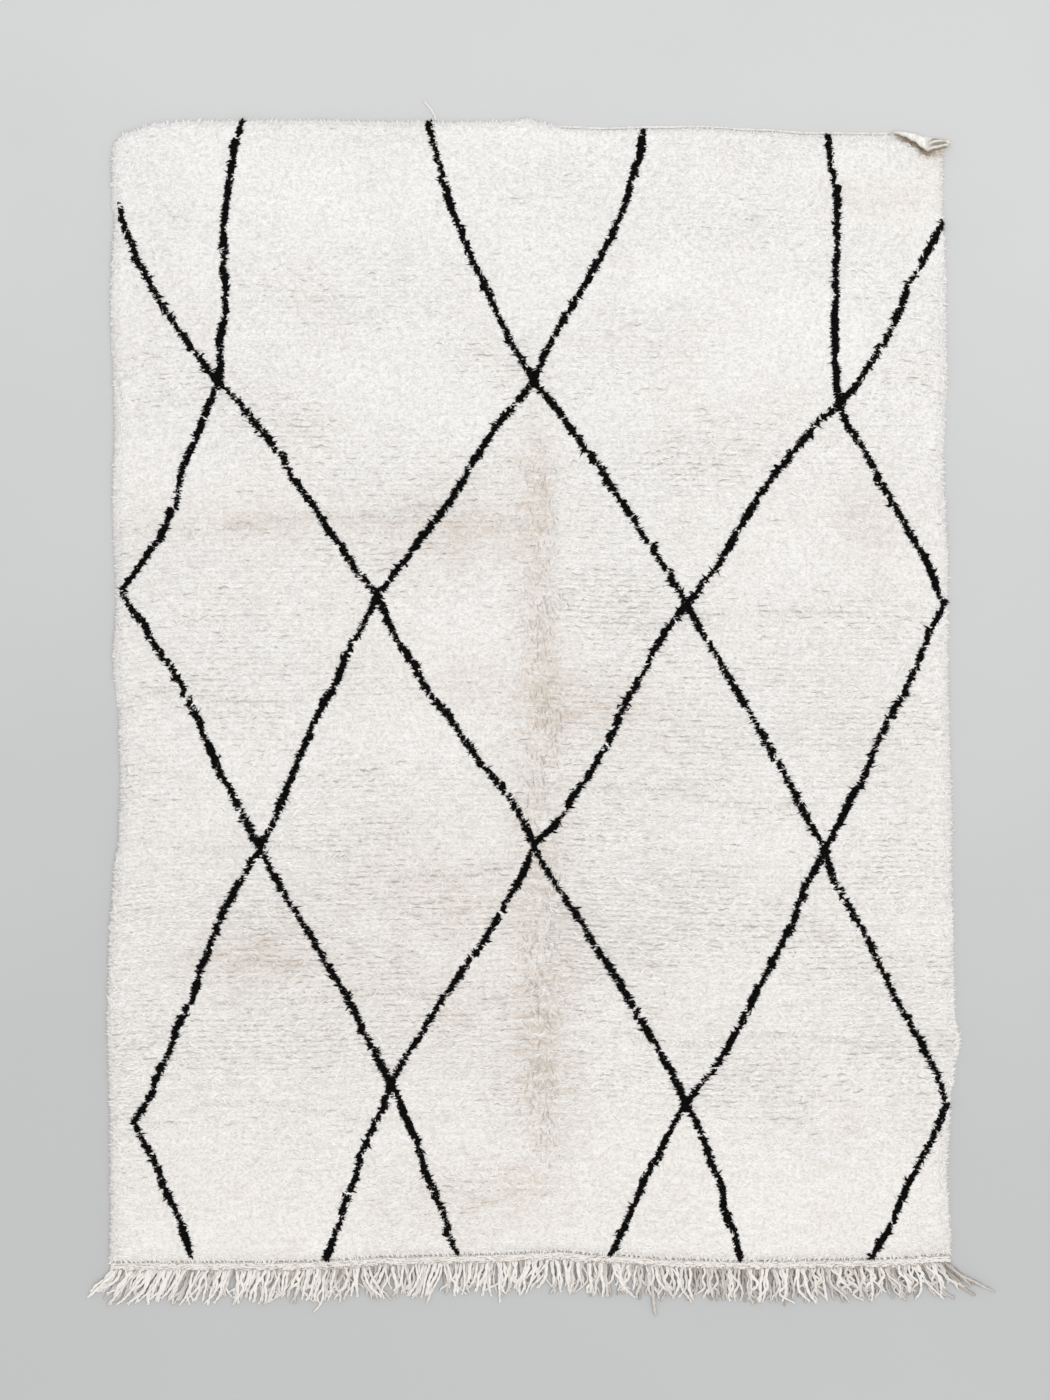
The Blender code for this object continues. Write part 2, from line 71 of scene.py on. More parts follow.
# How the Mix node blends colours: its settings, its two inputs and its output.
BLEND = {"data_type": "RGBA"}
SHADE = {**BLEND, "blend_type": "MULTIPLY"}
MIX_A, MIX_B, MIXED = 6, 7, 2

Array = np.ndarray
Chance = np.random.Generator
Thing = bpy.types.Object
Socket = bpy.types.NodeSocket
Tree = bpy.types.NodeTree
Material = bpy.types.Material
Colour = tuple[float, float, float, float]
Pair = tuple[float, float]


class Slot(Enum):
    """The record's material slots."""

    PILE = "pile"
    WARP = "warp"
    WOVEN_END = "woven_end"


class Layer(float, Enum):
    """Which of many unlike noises a feature reads: two features share one only at unlike sizes."""

    SWELL = 0.0
    QUICK_WANDER = 1.0
    GROUND_LUMP = 2.0
    KNOT_SWELL = 3.0
    HEADING_FRONT = 3.0
    ROWS_SHOW = 4.0
    SLOW_WANDER = 5.0
    HEADING_LUMP = 5.0
    LEAN = 6.0
    SWING = 8.0
    ROW_PART = 9.0
    WARM_PATCH = 11.0
    TONE = 12.0
    STREAK = 13.0
    CRUSHED = 14.0
    MISSED_KNOT = 15.0
    PARTING = 16.0
    RIM_WAVER = 17.0
    CRIMP_TURN = 18.0
    LINE_WIDTH = 19.0
    RIM_TUFTS = 21.0
    FOLD_WAVER = 22.0


class EdgeRow(NamedTuple):
    """One place on an edge: how far along it, and how far it stands out of the plain oblong."""

    along: float
    out: float


class LeanRow(NamedTuple):
    """How far a strand drifts to +X for each metre that it runs down."""

    across: float
    lean: float


class Crease(NamedTuple):
    """A soft trough in the pile, from one end to the other, bowed sideways in its middle."""

    start: Pair
    end: Pair
    bow: float
    depth: float
    width: float


class Crossing(NamedTuple):
    """A point of the black lattice, in millimetres from the rug's middle."""

    across: float
    up: float


class Run(NamedTuple):
    """A black line between two crossings, with its sideways bow at one and two thirds, in mm."""

    start: str
    end: str
    bow_third: float
    bow_two_thirds: float


class Patch(NamedTuple):
    """A soft patch of unlike wool: its middle, its half sizes and its strength."""

    across: float
    up: float
    half_width: float
    half_length: float
    strength: float


def table(kind: type, *rows: tuple) -> tuple:
    """Make rows of one kind from plain tuples that hold its columns in order."""
    return tuple(kind(*row) for row in rows)


# Edges as (along, out) in metres: the sides' along runs down from the top edge,
# and that of the top, the foot and the turned-up corner to the right from the middle.
LEFT_EDGE = table(
    EdgeRow,
    (0.046, -0.0030), (0.093, 0.0010), (0.155, -0.0065), (0.268, 0.0008), (0.357, 0.0010),
    (0.411, -0.0035), (0.554, -0.0060), (0.661, -0.0022), (0.857, -0.0088), (0.947, -0.0030),
    (1.075, -0.0145), (1.197, -0.0165), (1.268, -0.0135), (1.348, -0.0040), (1.447, 0.0035),
    (1.607, 0.0070), (1.804, 0.0018), (1.960, 0.0012), (2.036, 0.0025),
)
RIGHT_EDGE = table(
    EdgeRow,
    (0.046, -0.0107), (0.161, -0.0105), (0.225, -0.0055), (0.375, -0.0045), (0.446, -0.0020),
    (0.520, -0.0070), (0.610, -0.0095), (0.768, -0.0015), (0.947, -0.0020), (1.090, 0.0015),
    (1.232, 0.0055), (1.357, 0.0045), (1.482, 0.0085), (1.580, 0.0100), (1.652, 0.0205),
    (1.702, 0.0085), (1.750, 0.0030), (1.880, -0.0030), (1.972, 0.0005), (2.000, 0.0050),
    (2.036, 0.0015),
)
TOP_EDGE = table(
    EdgeRow,
    (-0.7500, -0.0560), (-0.7430, -0.0340), (-0.7180, -0.0190), (-0.6700, -0.0040), (-0.6040, 0.0006),
    (-0.4290, 0.0018), (-0.1790, -0.0010), (-0.0340, -0.0005), (-0.0070, 0.0050), (0.0230, -0.0030),
    (0.0540, -0.0090), (0.1250, -0.0120), (0.2140, -0.0098), (0.3040, -0.0089), (0.4110, -0.0145),
    (0.5000, -0.0200), (0.6340, -0.0213), (0.6800, -0.0213), (0.7160, -0.0290), (0.7450, -0.0370),
)
FOOT_EDGE = table(
    EdgeRow,
    (-0.7540, 0.0045), (-0.4290, 0.0040), (-0.3480, 0.0005), (-0.2660, -0.0050), (-0.1040, -0.0090),
    (0.0610, -0.0150), (0.1020, -0.0100), (0.2860, 0.0000), (0.3750, 0.0025), (0.6070, -0.0010),
    (0.7540, -0.0085),
)
# Where the turned-up corner ends on the pile, with out as metres above the oblong's top.
EAR_FOLD = table(
    EdgeRow,
    (0.641, -0.0263), (0.652, -0.0263), (0.667, -0.0315), (0.684, -0.0400), (0.700, -0.0520),
    (0.709, -0.0590), (0.722, -0.0560), (0.7425, -0.0510),
)
# The strands' drift as (across, lean).
FRINGE_LEAN = table(
    LeanRow,
    (-0.752, -1.08), (-0.715, -0.66), (-0.560, -0.34), (-0.250, -0.20), (0.050, -0.05), (0.400, 0.10),
    (0.660, 0.24), (0.715, 0.60), (0.752, 1.55),
)
# Troughs as (start, end, bow, depth, width): these run down the rug's middle, where it has lain folded.
FOLD_CREASES = table(
    Crease,
    ((0.012, 0.395), (0.030, -0.075), 0.010, 0.0045, 0.020),
    ((0.024, -0.075), (0.010, -0.480), -0.014, 0.0028, 0.022),
    ((0.010, -0.480), (0.034, -0.835), 0.012, 0.0042, 0.020),
)
# These run between two rows of knots.
ROW_CREASES = table(
    Crease,
    ((-0.710, 0.292), (-0.232, 0.300), -0.012, 0.0036, 0.014),
    ((-0.205, 0.325), (-0.020, 0.292), 0.006, 0.0034, 0.014),
    ((-0.735, -0.012), (-0.410, -0.020), 0.008, 0.0038, 0.014),
    ((-0.700, -0.268), (-0.330, -0.300), -0.010, 0.0032, 0.015),
    ((-0.250, -0.345), (-0.040, -0.318), 0.006, 0.0030, 0.014),
    ((-0.625, -0.478), (-0.357, -0.490), 0.008, 0.0040, 0.015),
    ((-0.560, -0.560), (-0.190, -0.545), -0.010, 0.0030, 0.014),
    ((0.110, -0.180), (0.520, -0.205), 0.010, 0.0026, 0.014),
    ((0.150, -0.610), (0.640, -0.640), -0.012, 0.0030, 0.015),
    ((-0.600, -0.745), (-0.150, -0.765), 0.010, 0.0026, 0.014),
    ((0.130, 0.120), (0.560, 0.140), -0.008, 0.0022, 0.014),
)

# The lattice that the weaver kept in mind: drawn-out diamonds, each line a knot or two wide.
# Crossings as (across, up), and runs as (start, end, bow at one third, bow at two thirds), in mm.
CROSSINGS = {name: Crossing(*place) for name, place in {
    "T1": (-514, 1013), "T2": (-179, 1009), "T3": (200, 1000), "T4": (530, 989), "L1": (-729, 857),
    "R1": (741, 836), "A1": (-554, 548), "A2": (7, 552), "A3": (550, 509), "L2": (-732, 175),
    "R2": (738, 152), "B1": (-270, 170), "B2": (279, 154), "C1": (-480, -284), "C2": (7, -277),
    "C3": (525, -284), "L3": (-705, -770), "R3": (743, -738), "D1": (-248, -705), "D2": (277, -738),
    "F1": (-604, -1007), "F2": (-364, -1014), "F3": (-132, -1004), "F4": (145, -1006),
    "F5": (375, -1014), "F6": (609, -1011),
}.items()}
RUNS = table(
    Run,
    ("T1", "A1", -12, -6), ("L1", "A1", -23, -19), ("A1", "B1", 11, 0), ("B1", "C2", -17, -1),
    ("C2", "D2", 2, 11), ("D2", "F5", 12, 8), ("A1", "L2", 8, 24), ("L2", "C1", 17, 9),
    ("C1", "D1", 1, 9), ("D1", "F3", 6, 5), ("T2", "A2", -20, -20), ("A2", "B2", 10, 8),
    ("B2", "C3", 2, 3), ("C3", "R3", -4, 5), ("R3", "F6", 6, 4), ("T3", "A2", 28, 15),
    ("A2", "B1", -2, 5), ("B1", "C1", -5, -7), ("C1", "L3", -11, 2), ("L3", "F1", 6, 5),
    ("T4", "A3", 8, 0), ("A3", "R2", 0, 6), ("R2", "C3", 2, 4), ("C3", "D2", 14, 21),
    ("D2", "F4", -6, -4), ("R1", "A3", 3, 14), ("A3", "B2", -17, -5), ("B2", "C2", -1, 19),
    ("C2", "D1", 9, -1), ("D1", "F2", -3, -2),
)

# Older, warmer wool as (across, up, half width, half length, strength).
WARM_PATCHES = table(
    Patch,
    (0.012, 0.330, 0.036, 0.150, 0.46), (0.020, 0.040, 0.044, 0.150, 0.42),
    (0.018, -0.240, 0.050, 0.160, 0.30), (0.020, -0.620, 0.056, 0.220, 0.48),
    (-0.115, 0.285, 0.130, 0.060, 0.40), (-0.430, 0.300, 0.210, 0.035, 0.30),
    (0.605, 0.290, 0.060, 0.080, 0.30), (-0.510, -0.480, 0.130, 0.050, 0.40),
    (0.130, -0.030, 0.120, 0.060, 0.30), (-0.090, -0.900, 0.150, 0.060, 0.22),
    (0.640, 0.880, 0.090, 0.040, 0.30), (-0.170, -0.370, 0.130, 0.110, 0.26),
    (-0.160, -0.560, 0.120, 0.070, 0.20), (-0.130, 0.010, 0.130, 0.060, 0.18),
    # The last patch is painted shade in the hollow under the turned-up corner, not older wool.
    (0.720, 0.953, 0.030, 0.015, 0.9),
)
# Lighter wool at the lower left, and darker wool all across the middle.
LIGHT_PATCHES = table(
    Patch,
    (-0.70, -0.80, 0.12, 0.30, 0.16), (0.0, 0.0, math.inf, 0.50, -0.12),
)


def smooth_read(rows: tuple, places: Array) -> Array:
    """Read a table of rows at many places, with eased steps between its rows.

    Args:
        rows: EdgeRow or LeanRow rows, in the order of their first column.
        places: where to read the table.

    Returns:
        The second column's value at each place.
    """
    along, values = np.array(rows).T
    at = np.clip(np.searchsorted(along, places) - 1, 0, len(rows) - 2)
    share = np.clip((places - along[at]) / (along[at + 1] - along[at]), 0.0, 1.0)
    return values[at] + (values[at + 1] - values[at]) * eased(share)


def eased(share: Array) -> Array:
    """An eased step from 0 to 1, for shares that run from 0 to 1."""
    held = np.clip(share, 0.0, 1.0)
    return held * held * (3.0 - 2.0 * held)


def soft_noise(x: Array, y: Array, size: float, layer: float) -> Array:
    """Smooth noise over the rug.

    Args:
        x: places across the rug.
        y: places along it, of the same shape.
        size: the size of one swell, in metres.
        layer: which of many unlike noises to read.

    Returns:
        A value from about -1 to 1 for each place.
    """
    flat = [noise.noise(Vector((a, b, layer)) / size) for a, b in zip(np.ravel(x), np.ravel(y))]
    return np.array(flat).reshape(np.shape(x))


def soft_patches(rows: tuple[Patch, ...], x: Array, y: Array) -> Array:
    """Sum of soft patches at places on the rug."""
    total = np.zeros(x.shape)
    for row in rows:
        across, along = (x - row.across) / row.half_width, (y - row.up) / row.half_length
        total = total + row.strength * np.exp(-across ** 2 - along ** 2)
    return total


def unit(vectors: Array) -> Array:
    """Vectors scaled to a length of one."""
    return vectors / np.maximum(np.linalg.norm(vectors, axis=-1, keepdims=True), 1e-9)


def headings(turn: Array) -> Array:
    """Level unit vectors with these turns from +X."""
    return np.stack([np.cos(turn), np.sin(turn)], axis=-1)


def square_to(ways: Array) -> Array:
    """Level vectors in space, each square to a level one of two numbers."""
    return np.stack([-ways[..., 1], ways[..., 0], np.zeros(ways.shape[:-1])], axis=-1)


@dataclass(frozen=True)
class Cloth:
    """The rug's plain shape: its edges and the height of its pile, as in the solids."""

    width: float = 1.500
    length: float = 2.036
    pile_height: float = 0.0215
    rim_height: float = 0.0060
    rim_reach: float = 0.021
    rim_step: float = 0.026
    swell: float = 0.0030
    swell_size: float = 0.19
    knot_swell: float = 0.0030
    knot_swell_size: float = 0.075
    crease_step: float = 0.048
    crease_ripple: float = 0.4
    crease_ripples: float = 9.0
    furrow_depth: float = 0.0042
    furrow_width: float = 0.0055
    fold_width: float = 0.030
    gap: float = 0.0003
    band_start: float = 0.050
    band_width: float = 0.0050
    ear_start: float = 0.641
    ear_end: float = 0.7425
    ear_rest: float = 0.0125
    ear_margin: float = 0.006
    ear_blend: float = 0.028

    def left(self, y: Array) -> Array:
        """X of the left edge at places along the rug."""
        return -self.width / 2 - smooth_read(LEFT_EDGE, self.length / 2 - y)

    def right(self, y: Array) -> Array:
        """X of the right edge at places along the rug."""
        return self.width / 2 + smooth_read(RIGHT_EDGE, self.length / 2 - y)

    def top(self, x: Array) -> Array:
        """Y of the outer edge at the top, the woven band included."""
        return self.length / 2 + smooth_read(TOP_EDGE, x)

    def pile_end(self, x: Array) -> Array:
        """Y where the pile itself ends at the top, short of the woven band where that shows."""
        return self.top(x) - np.where(x > self.band_start, self.band_width + self.gap, 0.0)

    def foot(self, x: Array) -> Array:
        """Y of the pile's edge at the foot, as straight runs between the rim's own points."""
        count = round(self.width / self.rim_step) + 1
        places = np.linspace(-self.width / 2, self.width / 2, count)
        return np.interp(x, places, -self.length / 2 - smooth_read(FOOT_EDGE, places))

    def fold(self, x: Array) -> Array:
        """Y where the turned-up corner ends on the pile."""
        return self.length / 2 + smooth_read(EAR_FOLD, x)

    def rim_distance(self, x: Array, y: Array) -> Array:
        """Rough distance from places on the cloth to its rim."""
        sides = (x - self.left(y), self.right(y) - x, self.top(x) - y, y - self.foot(x))
        return np.minimum.reduce(sides)

    def crease_line(self, crease: Crease) -> Array:
        """Points along the middle of a crease, as rows of x and y."""
        start, end = Vector(crease.start), Vector(crease.end)
        side = (end - start).normalized().orthogonal()
        count = max(round((end - start).length / self.crease_step), 2)
        share = np.arange(count + 1) / count
        wave = np.sin(math.tau * share) + self.crease_ripple * np.sin(self.crease_ripples * share)
        bow = crease.bow * wave
        return np.array(start) + share[:, None] * np.array(end - start) + bow[:, None] * np.array(side)

    def crease_offset(self, crease: Crease, x: Array, y: Array) -> Array:
        """Vectors from the nearest point of a crease's middle line to places on the rug."""
        line = self.crease_line(crease)
        here = np.stack([x, y], axis=-1)
        best = np.full(here.shape, FAR)
        for first, second in zip(line, line[1:]):
            run = second - first
            share = np.clip((here - first) @ run / (run @ run), 0.0, 1.0)
            away = here - first - share[..., None] * run
            nearer = np.linalg.norm(away, axis=-1) < np.linalg.norm(best, axis=-1)
            best[nearer] = away[nearer]
        return best

    def crease_distance(self, crease: Crease, x: Array, y: Array) -> Array:
        """How far places on the rug are from a crease's middle line."""
        return np.linalg.norm(self.crease_offset(crease, x, y), axis=-1)

    def crease_depth(self, x: Array, y: Array) -> Array:
        """How deep the creases press the pile at places on the rug."""
        deepest = np.zeros(np.shape(x))
        for crease in (*FOLD_CREASES, *ROW_CREASES):
            away = self.crease_distance(crease, x, y) / (2.0 * crease.width)
            depth = crease.depth * (0.5 + 0.5 * np.cos(np.pi * np.minimum(away, 1.0)))
            deepest = np.maximum(deepest, depth)
        return deepest

    def furrow(self, x: Array, y: Array) -> Array:
        """How near places are to the bottom of a crease that runs between two rows, from 0 to 1."""
        nearest = np.minimum.reduce([self.crease_distance(crease, x, y) for crease in ROW_CREASES])
        return np.exp(-(nearest / self.furrow_width) ** 2)

    def middle_fold(self, x: Array, y: Array) -> Array:
        """How near places are to the fold down the rug's middle, from 0 to 1."""
        nearest = np.minimum.reduce([self.crease_distance(crease, x, y) for crease in FOLD_CREASES])
        return np.exp(-(nearest / self.fold_width) ** 2)

    def inner_top(self, x: Array, y: Array) -> Array:
        """Height of the pile at places on the rug, as if its rim were far away."""
        swell = self.swell * soft_noise(x, y, self.swell_size, Layer.SWELL)
        swell += self.knot_swell * soft_noise(x, y, self.knot_swell_size, Layer.KNOT_SWELL)
        return self.pile_height + swell - self.crease_depth(x, y) - self.furrow_depth * self.furrow(x, y)

    def rounded(self, full: Array, x: Array, y: Array) -> Array:
        """Round a height off towards the rim and under the turned-up corner.

        Args:
            full: the pile's height away from the rim.
            x: places across the rug.
            y: places along it.

        Returns:
            The pile's height at each place.
        """
        share = np.clip(self.rim_distance(x, y) / self.rim_reach, 0.0, 1.0)
        height = self.rim_height + (full - self.rim_height) * np.sin(0.5 * np.pi * share)
        return np.minimum(height, self.ear_limit(x, y))

    def pile_top(self, x: Array, y: Array) -> Array:
        """Height of the pile at places on the rug."""
        return self.rounded(self.inner_top(x, y), x, y)

    def ear_limit(self, x: Array, y: Array) -> Array:
        """The pile is pressed down under the turned-up corner, and rises again around it."""
        away = np.maximum(self.ear_start - x, self.fold(x) - y) - self.ear_margin
        return self.ear_rest + self.pile_height * np.clip(away / self.ear_blend, 0.0, 1.0)

    def places(self, across: Array, along: Array, inset: float = 0.0) -> tuple[Array, Array]:
        """Places on the cloth from shares of its width and length.

        Args:
            across: shares from the left edge to the right one.
            along: shares from the foot to the top.
            inset: how far to stay inside the edges.

        Returns:
            x and y of each place.
        """
        plain = (along - 0.5) * self.length
        left, right = self.left(plain) + inset, self.right(plain) - inset
        x = left + (right - left) * across
        low, high = self.foot(x) + inset, self.pile_end(x) - inset
        return x, low + (high - low) * along


CLOTH = Cloth()


@dataclass(frozen=True)
class Wear:
    """How use changed the wool: felted at the top, warmer in patches; and painted shadow under one corner.
    """

    rows_clear: float = 0.62
    rows_fade: float = 0.75
    foot_felted_from: float = 0.31
    foot_felted_over: float = 0.13
    rows_patch: float = 0.55
    rows_patch_size: float = 0.16
    rows_patch_squeeze: float = 0.5
    warm_patch: float = 0.10
    warm_patch_size: float = 0.13
    warm_patch_least: float = 0.2
    warm_down: float = 0.23
    streak: float = 0.75
    streak_size: Pair = (0.05, 0.008)
    lightness: float = 0.62
    light_swell: float = 0.16
    light_swell_size: float = 0.05
    light_swell_squeeze: float = 0.35
    dark_up: float = 0.16
    corner_shadow_drop: float = 0.002
    corner_shadow_across: float = 0.686
    corner_shadow_size: Pair = (0.034, 0.0085)

    def combed(self, x: Array, y: Array) -> Array:
        """How clearly the rows show, from 0 in the felted top to 1 in the lower middle."""
        up = y / CLOTH.length
        foot = np.clip((-up - self.foot_felted_from) / self.foot_felted_over, 0.0, 1.0)
        fade = self.rows_clear - self.rows_fade * up - self.rows_fade * foot
        patches = soft_noise(x * self.rows_patch_squeeze, y, self.rows_patch_size, Layer.ROWS_SHOW)
        return np.clip(fade + self.rows_patch * patches, 0.0, 1.0)

    def warmth(self, x: Array, y: Array) -> Array:
        """How much older and warmer the wool is, with warm painted shade under the turned-up corner."""
        patch = soft_noise(x, y, self.warm_patch_size, Layer.WARM_PATCH) + self.warm_patch_least
        total = self.warm_patch * np.clip(patch, 0.0, 1.0) + self.warm_down * (0.5 - y / CLOTH.length)
        long, wide = self.streak_size
        streak = self.streak + self.streak * soft_noise(x / long, y / wide, 1.0, Layer.STREAK)
        return np.clip((total + soft_patches(WARM_PATCHES, x, y)) * streak, 0.0, 1.0)

    def tone(self, x: Array, y: Array) -> Array:
        """How light the wool's cream is at places on the rug."""
        swell = soft_noise(x * self.light_swell_squeeze, y, self.light_swell_size, Layer.TONE)
        tone = self.lightness + self.light_swell * swell - self.dark_up * y / CLOTH.length
        return tone + soft_patches(LIGHT_PATCHES, x, y)

    def corner_shadow(self, x: Array, y: Array) -> Array:
        """How much painted shadow the wool takes: only in the hollow under the turned-up corner."""
        wide, deep = self.corner_shadow_size
        below = (CLOTH.fold(x) - y - self.corner_shadow_drop) / deep
        return np.exp(-below ** 4 - ((x - self.corner_shadow_across) / wide) ** 4)


WEAR = Wear()


def frame_shift() -> Vector:
    """How far the frame's origin is from the rug's middle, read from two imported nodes."""
    band_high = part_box("top_band")[1]
    loose_low, loose_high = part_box("loose_end")
    root_x = loose_high.x - LooseEnd.width / 2 - (band_high.x - CLOTH.ear_end)
    root_y = float(CLOTH.top(np.array(root_x))) + CLOTH.gap
    return Vector((band_high.x - CLOTH.ear_end, loose_low.y - root_y, 0.0))


@dataclass(frozen=True)
class Lattice:
    """The black lines that are knotted into the cream pile."""

    half_width: float = 0.0064
    slow_wander: float = 0.0072
    slow_size: float = 0.060
    quick_wander: float = 0.0061
    quick_size: float = 0.0125
    wander_rows: Pair = (0.7, 0.2)
    width_wander: float = 0.54
    width_size: Pair = (0.06, 0.034)
    missed_size: float = 0.050
    missed_above: float = 0.60
    pull: float = 0.50
    fuzz_reach: float = 0.017
    overrun: float = 0.012
    end_share: float = 0.125
    end_wander: float = 0.25

    def wander(self, number: int, y: Array) -> Array:
        """How far a black line strays from the weaver's plan at places along the rug."""
        slow_row, quick_row = (np.full(y.shape, row) for row in self.wander_rows)
        slow = soft_noise(y, slow_row, self.slow_size, Layer.SLOW_WANDER + number)
        quick = soft_noise(y, quick_row, self.quick_size, Layer.QUICK_WANDER + number)
        return self.slow_wander * slow + self.quick_wander * quick

    def line(self, number: int, y: Array) -> Array:
        """X of one black line at places along the rug.

        Args:
            number: the line's place in RUNS.
            y: places along the rug.

        Returns:
            The line's x, or a far value where the line doesn't reach that place.
        """
        run = RUNS[number]
        start, end = CROSSINGS[run.start], CROSSINGS[run.end]
        share = (start.up * MILLIMETRE - y) / ((start.up - end.up) * MILLIMETRE)
        # The two cubics are 1 at one third or two thirds, and 0 at the other and at both ends.
        first = 13.5 * share * (share - 2 / 3) * (share - 1) * run.bow_third
        second = -13.5 * share * (share - 1 / 3) * (share - 1) * run.bow_two_thirds
        straight = start.across + (end.across - start.across) * share
        free = np.clip(np.minimum(share, 1 - share) / self.end_share, self.end_wander, 1.0)
        across = (straight + first + second) * MILLIMETRE + self.wander(number, y) * free
        return np.where((share >= -self.overrun) & (share <= 1 + self.overrun), across, FAR)

    def ink(self, x: Array, y: Array) -> Array:
        """How black the roots are at places on the rug: a half at a line's edge."""
        return np.clip(1.0 - 0.5 * np.abs(self.nearest(x, y)) / self.reach(x, y), 0.0, 1.0)

    def reach(self, x: Array, y: Array) -> Array:
        """Half the width of the black lines at places on the rug, which swells and thins."""
        across, along = self.width_size
        swell = soft_noise(x / across, y / along, 1.0, Layer.LINE_WIDTH)
        return self.half_width * (1.0 + self.width_wander * swell)

    def nearest(self, x: Array, y: Array) -> Array:
        """Signed way to +X from places on the rug to the nearest black line."""
        ways = np.array([self.line(number, y) - x for number in range(len(RUNS))])
        nearest = np.argmin(np.abs(ways), axis=0)
        return np.take_along_axis(ways, nearest[None], axis=0)[0]


@dataclass(frozen=True)
class Pattern:
    """A small closed tube that is repeated many times, as rings from one pole to the other.

    Attributes:
        level: the ring that each point is on, counted from the root.
        around: each point's place on the unit circle, as rows of two; 0 at the poles.
        corners: the points of all faces, one face after the other.
        starts: where each face's corners start.
        places: a UV place for each corner.
    """

    level: Array
    around: Array
    corners: Array
    starts: Array
    places: Array


def tube_pattern(sides: int, levels: int, turned: float = 0.0) -> Pattern:
    """Make a closed tube from a UV sphere's rings.

    Args:
        sides: how many points each ring has.
        levels: how many levels there are, the two poles included.
        turned: how far each ring is turned, in radians.

    Returns:
        The tube, which has no shape yet: its rings are placed when it is repeated.
    """
    bm = bmesh.new()
    bmesh.ops.create_uvsphere(bm, u_segments=sides, v_segments=levels - 1, radius=1.0)
    bmesh.ops.rotate(bm, cent=(0.0, 0.0, 0.0), matrix=Matrix.Rotation(turned, 3, "Z"), verts=bm.verts)
    bm.verts.index_update()
    level, around = [], []
    for vert in bm.verts:
        polar = math.acos(max(-1.0, min(1.0, vert.co.z))) / math.pi
        level.append(levels - 1 - round(polar * (levels - 1)))
        pole = level[-1] in (0, levels - 1)
        around.append((0.0, 0.0) if pole else tuple(vert.co.xy.normalized()))
    corners, starts, places = [], [], []
    for face in bm.faces:
        middle = face.calc_center_median()
        facing = math.atan2(middle.y, middle.x)
        starts.append(len(corners))
        for vert in face.verts:
            turn = 0.0
            if any(around[vert.index]):
                turn = math.atan2(around[vert.index][1], around[vert.index][0]) - facing
                turn = (turn + math.pi) % math.tau - math.pi
            corners.append(vert.index)
            places.append(((facing + turn) / math.tau + 0.5, level[vert.index] / (levels - 1)))
    bm.free()
    spread = np.array(places)
    low, high = spread[:, 0].min(), spread[:, 0].max()
    spread[:, 0] = (spread[:, 0] - low) / (high - low)
    return Pattern(np.array(level), np.array(around), np.array(corners), np.array(starts), spread)


def sweep(pattern: Pattern, path: Array, side: Array, wide: Array, thick: Array) -> Array:
    """Place a pattern's points along many paths.

    Args:
        pattern: the tube that is repeated.
        path: the middle of each copy's levels, as copies x levels x 3.
        side: a level vector across each copy, as copies x 3.
        wide: half the width across, as copies x levels.
        thick: half the thickness, as copies x levels.

    Returns:
        The points of all copies, as copies x points x 3.
    """
    tangent = unit(np.gradient(path, axis=1))
    across = unit(side)[:, None, :] + np.zeros_like(path)
    up = unit(np.cross(tangent, across))
    across = np.cross(up, tangent)
    level = pattern.level
    shaped = path[:, level] + across[:, level] * (pattern.around[:, 0] * wide[:, level])[..., None]
    return shaped + up[:, level] * (pattern.around[:, 1] * thick[:, level])[..., None]


def joined_copies(name: str, pattern: Pattern, points: Array, facts: dict[str, Array], shift: Vector,
                  material: Material) -> Thing:
    """Join many copies of a pattern in one mesh.

    Args:
        name: the new piece's name.
        pattern: the tube that is repeated.
        points: the points of all copies, as copies x points x 3.
        facts: named values for the material, one for each copy or each point of each copy.
        shift: how far the piece moves into the frame.
        material: what the piece is made of.

    Returns:
        The new object, with a UV map that gives each copy its own cell.
    """
    copies, size, _ = points.shape
    mesh = bpy.data.meshes.new(name)
    mesh.vertices.add(copies * size)
    mesh.vertices.foreach_set("co", (points + np.array(shift)).ravel())
    number = np.arange(copies)[:, None]
    mesh.loops.add(copies * len(pattern.corners))
    mesh.loops.foreach_set("vertex_index", (number * size + pattern.corners).ravel())
    mesh.polygons.add(copies * len(pattern.starts))
    mesh.polygons.foreach_set("loop_start", (number * len(pattern.corners) + pattern.starts).ravel())
    mesh.update(calc_edges=True)
    cells = cell_count(copies)
    corner = np.stack([number % cells, number // cells], axis=-1)
    places = (corner + CELL_RIM + (1 - 2 * CELL_RIM) * pattern.places) / cells
    mesh.uv_layers.new(name="OFBake").uv.foreach_set("vector", places.ravel())
    for fact, values in facts.items():
        spread = values if values.ndim == 2 else np.repeat(values[:, None], size, axis=1)
        layer = mesh.attributes.new(fact, "FLOAT", "POINT")
        layer.data.foreach_set("value", spread.astype(np.float32).ravel())
    mesh.shade_smooth()
    mesh.materials.append(material)
    return linked(name, mesh)


def cell_count(copies: int) -> int:
    """How many cells a side the UV map of so many copies has."""
    return math.ceil(math.sqrt(copies))


def linked(name: str, data: bpy.types.ID) -> Thing:
    """Put a mesh, a lamp or a camera in the scene as a named object."""
    thing = bpy.data.objects.new(name, data)
    bpy.context.collection.objects.link(thing)
    return thing


def finished(name: str, bm: bmesh.types.BMesh, shift: Vector, material: Material,
             sharp: float = 50.0) -> Thing:
    """Turn a bmesh into a named object in the frame.

    Args:
        name: the new piece's name.
        bm: its mesh, which is used up.
        shift: how far it moves into the frame.
        material: what the piece is made of.
        sharp: the angle in degrees past which an edge stays sharp.

    Returns:
        The new object, at the origin.
    """
    bmesh.ops.recalc_face_normals(bm, faces=bm.faces)
    bmesh.ops.translate(bm, vec=shift, verts=bm.verts)
    mesh = bpy.data.meshes.new(name)
    bm.to_mesh(mesh)
    bm.free()
    mesh.shade_smooth()
    mesh.set_sharp_from_angle(angle=math.radians(sharp))
    mesh.materials.append(material)
    return linked(name, mesh)


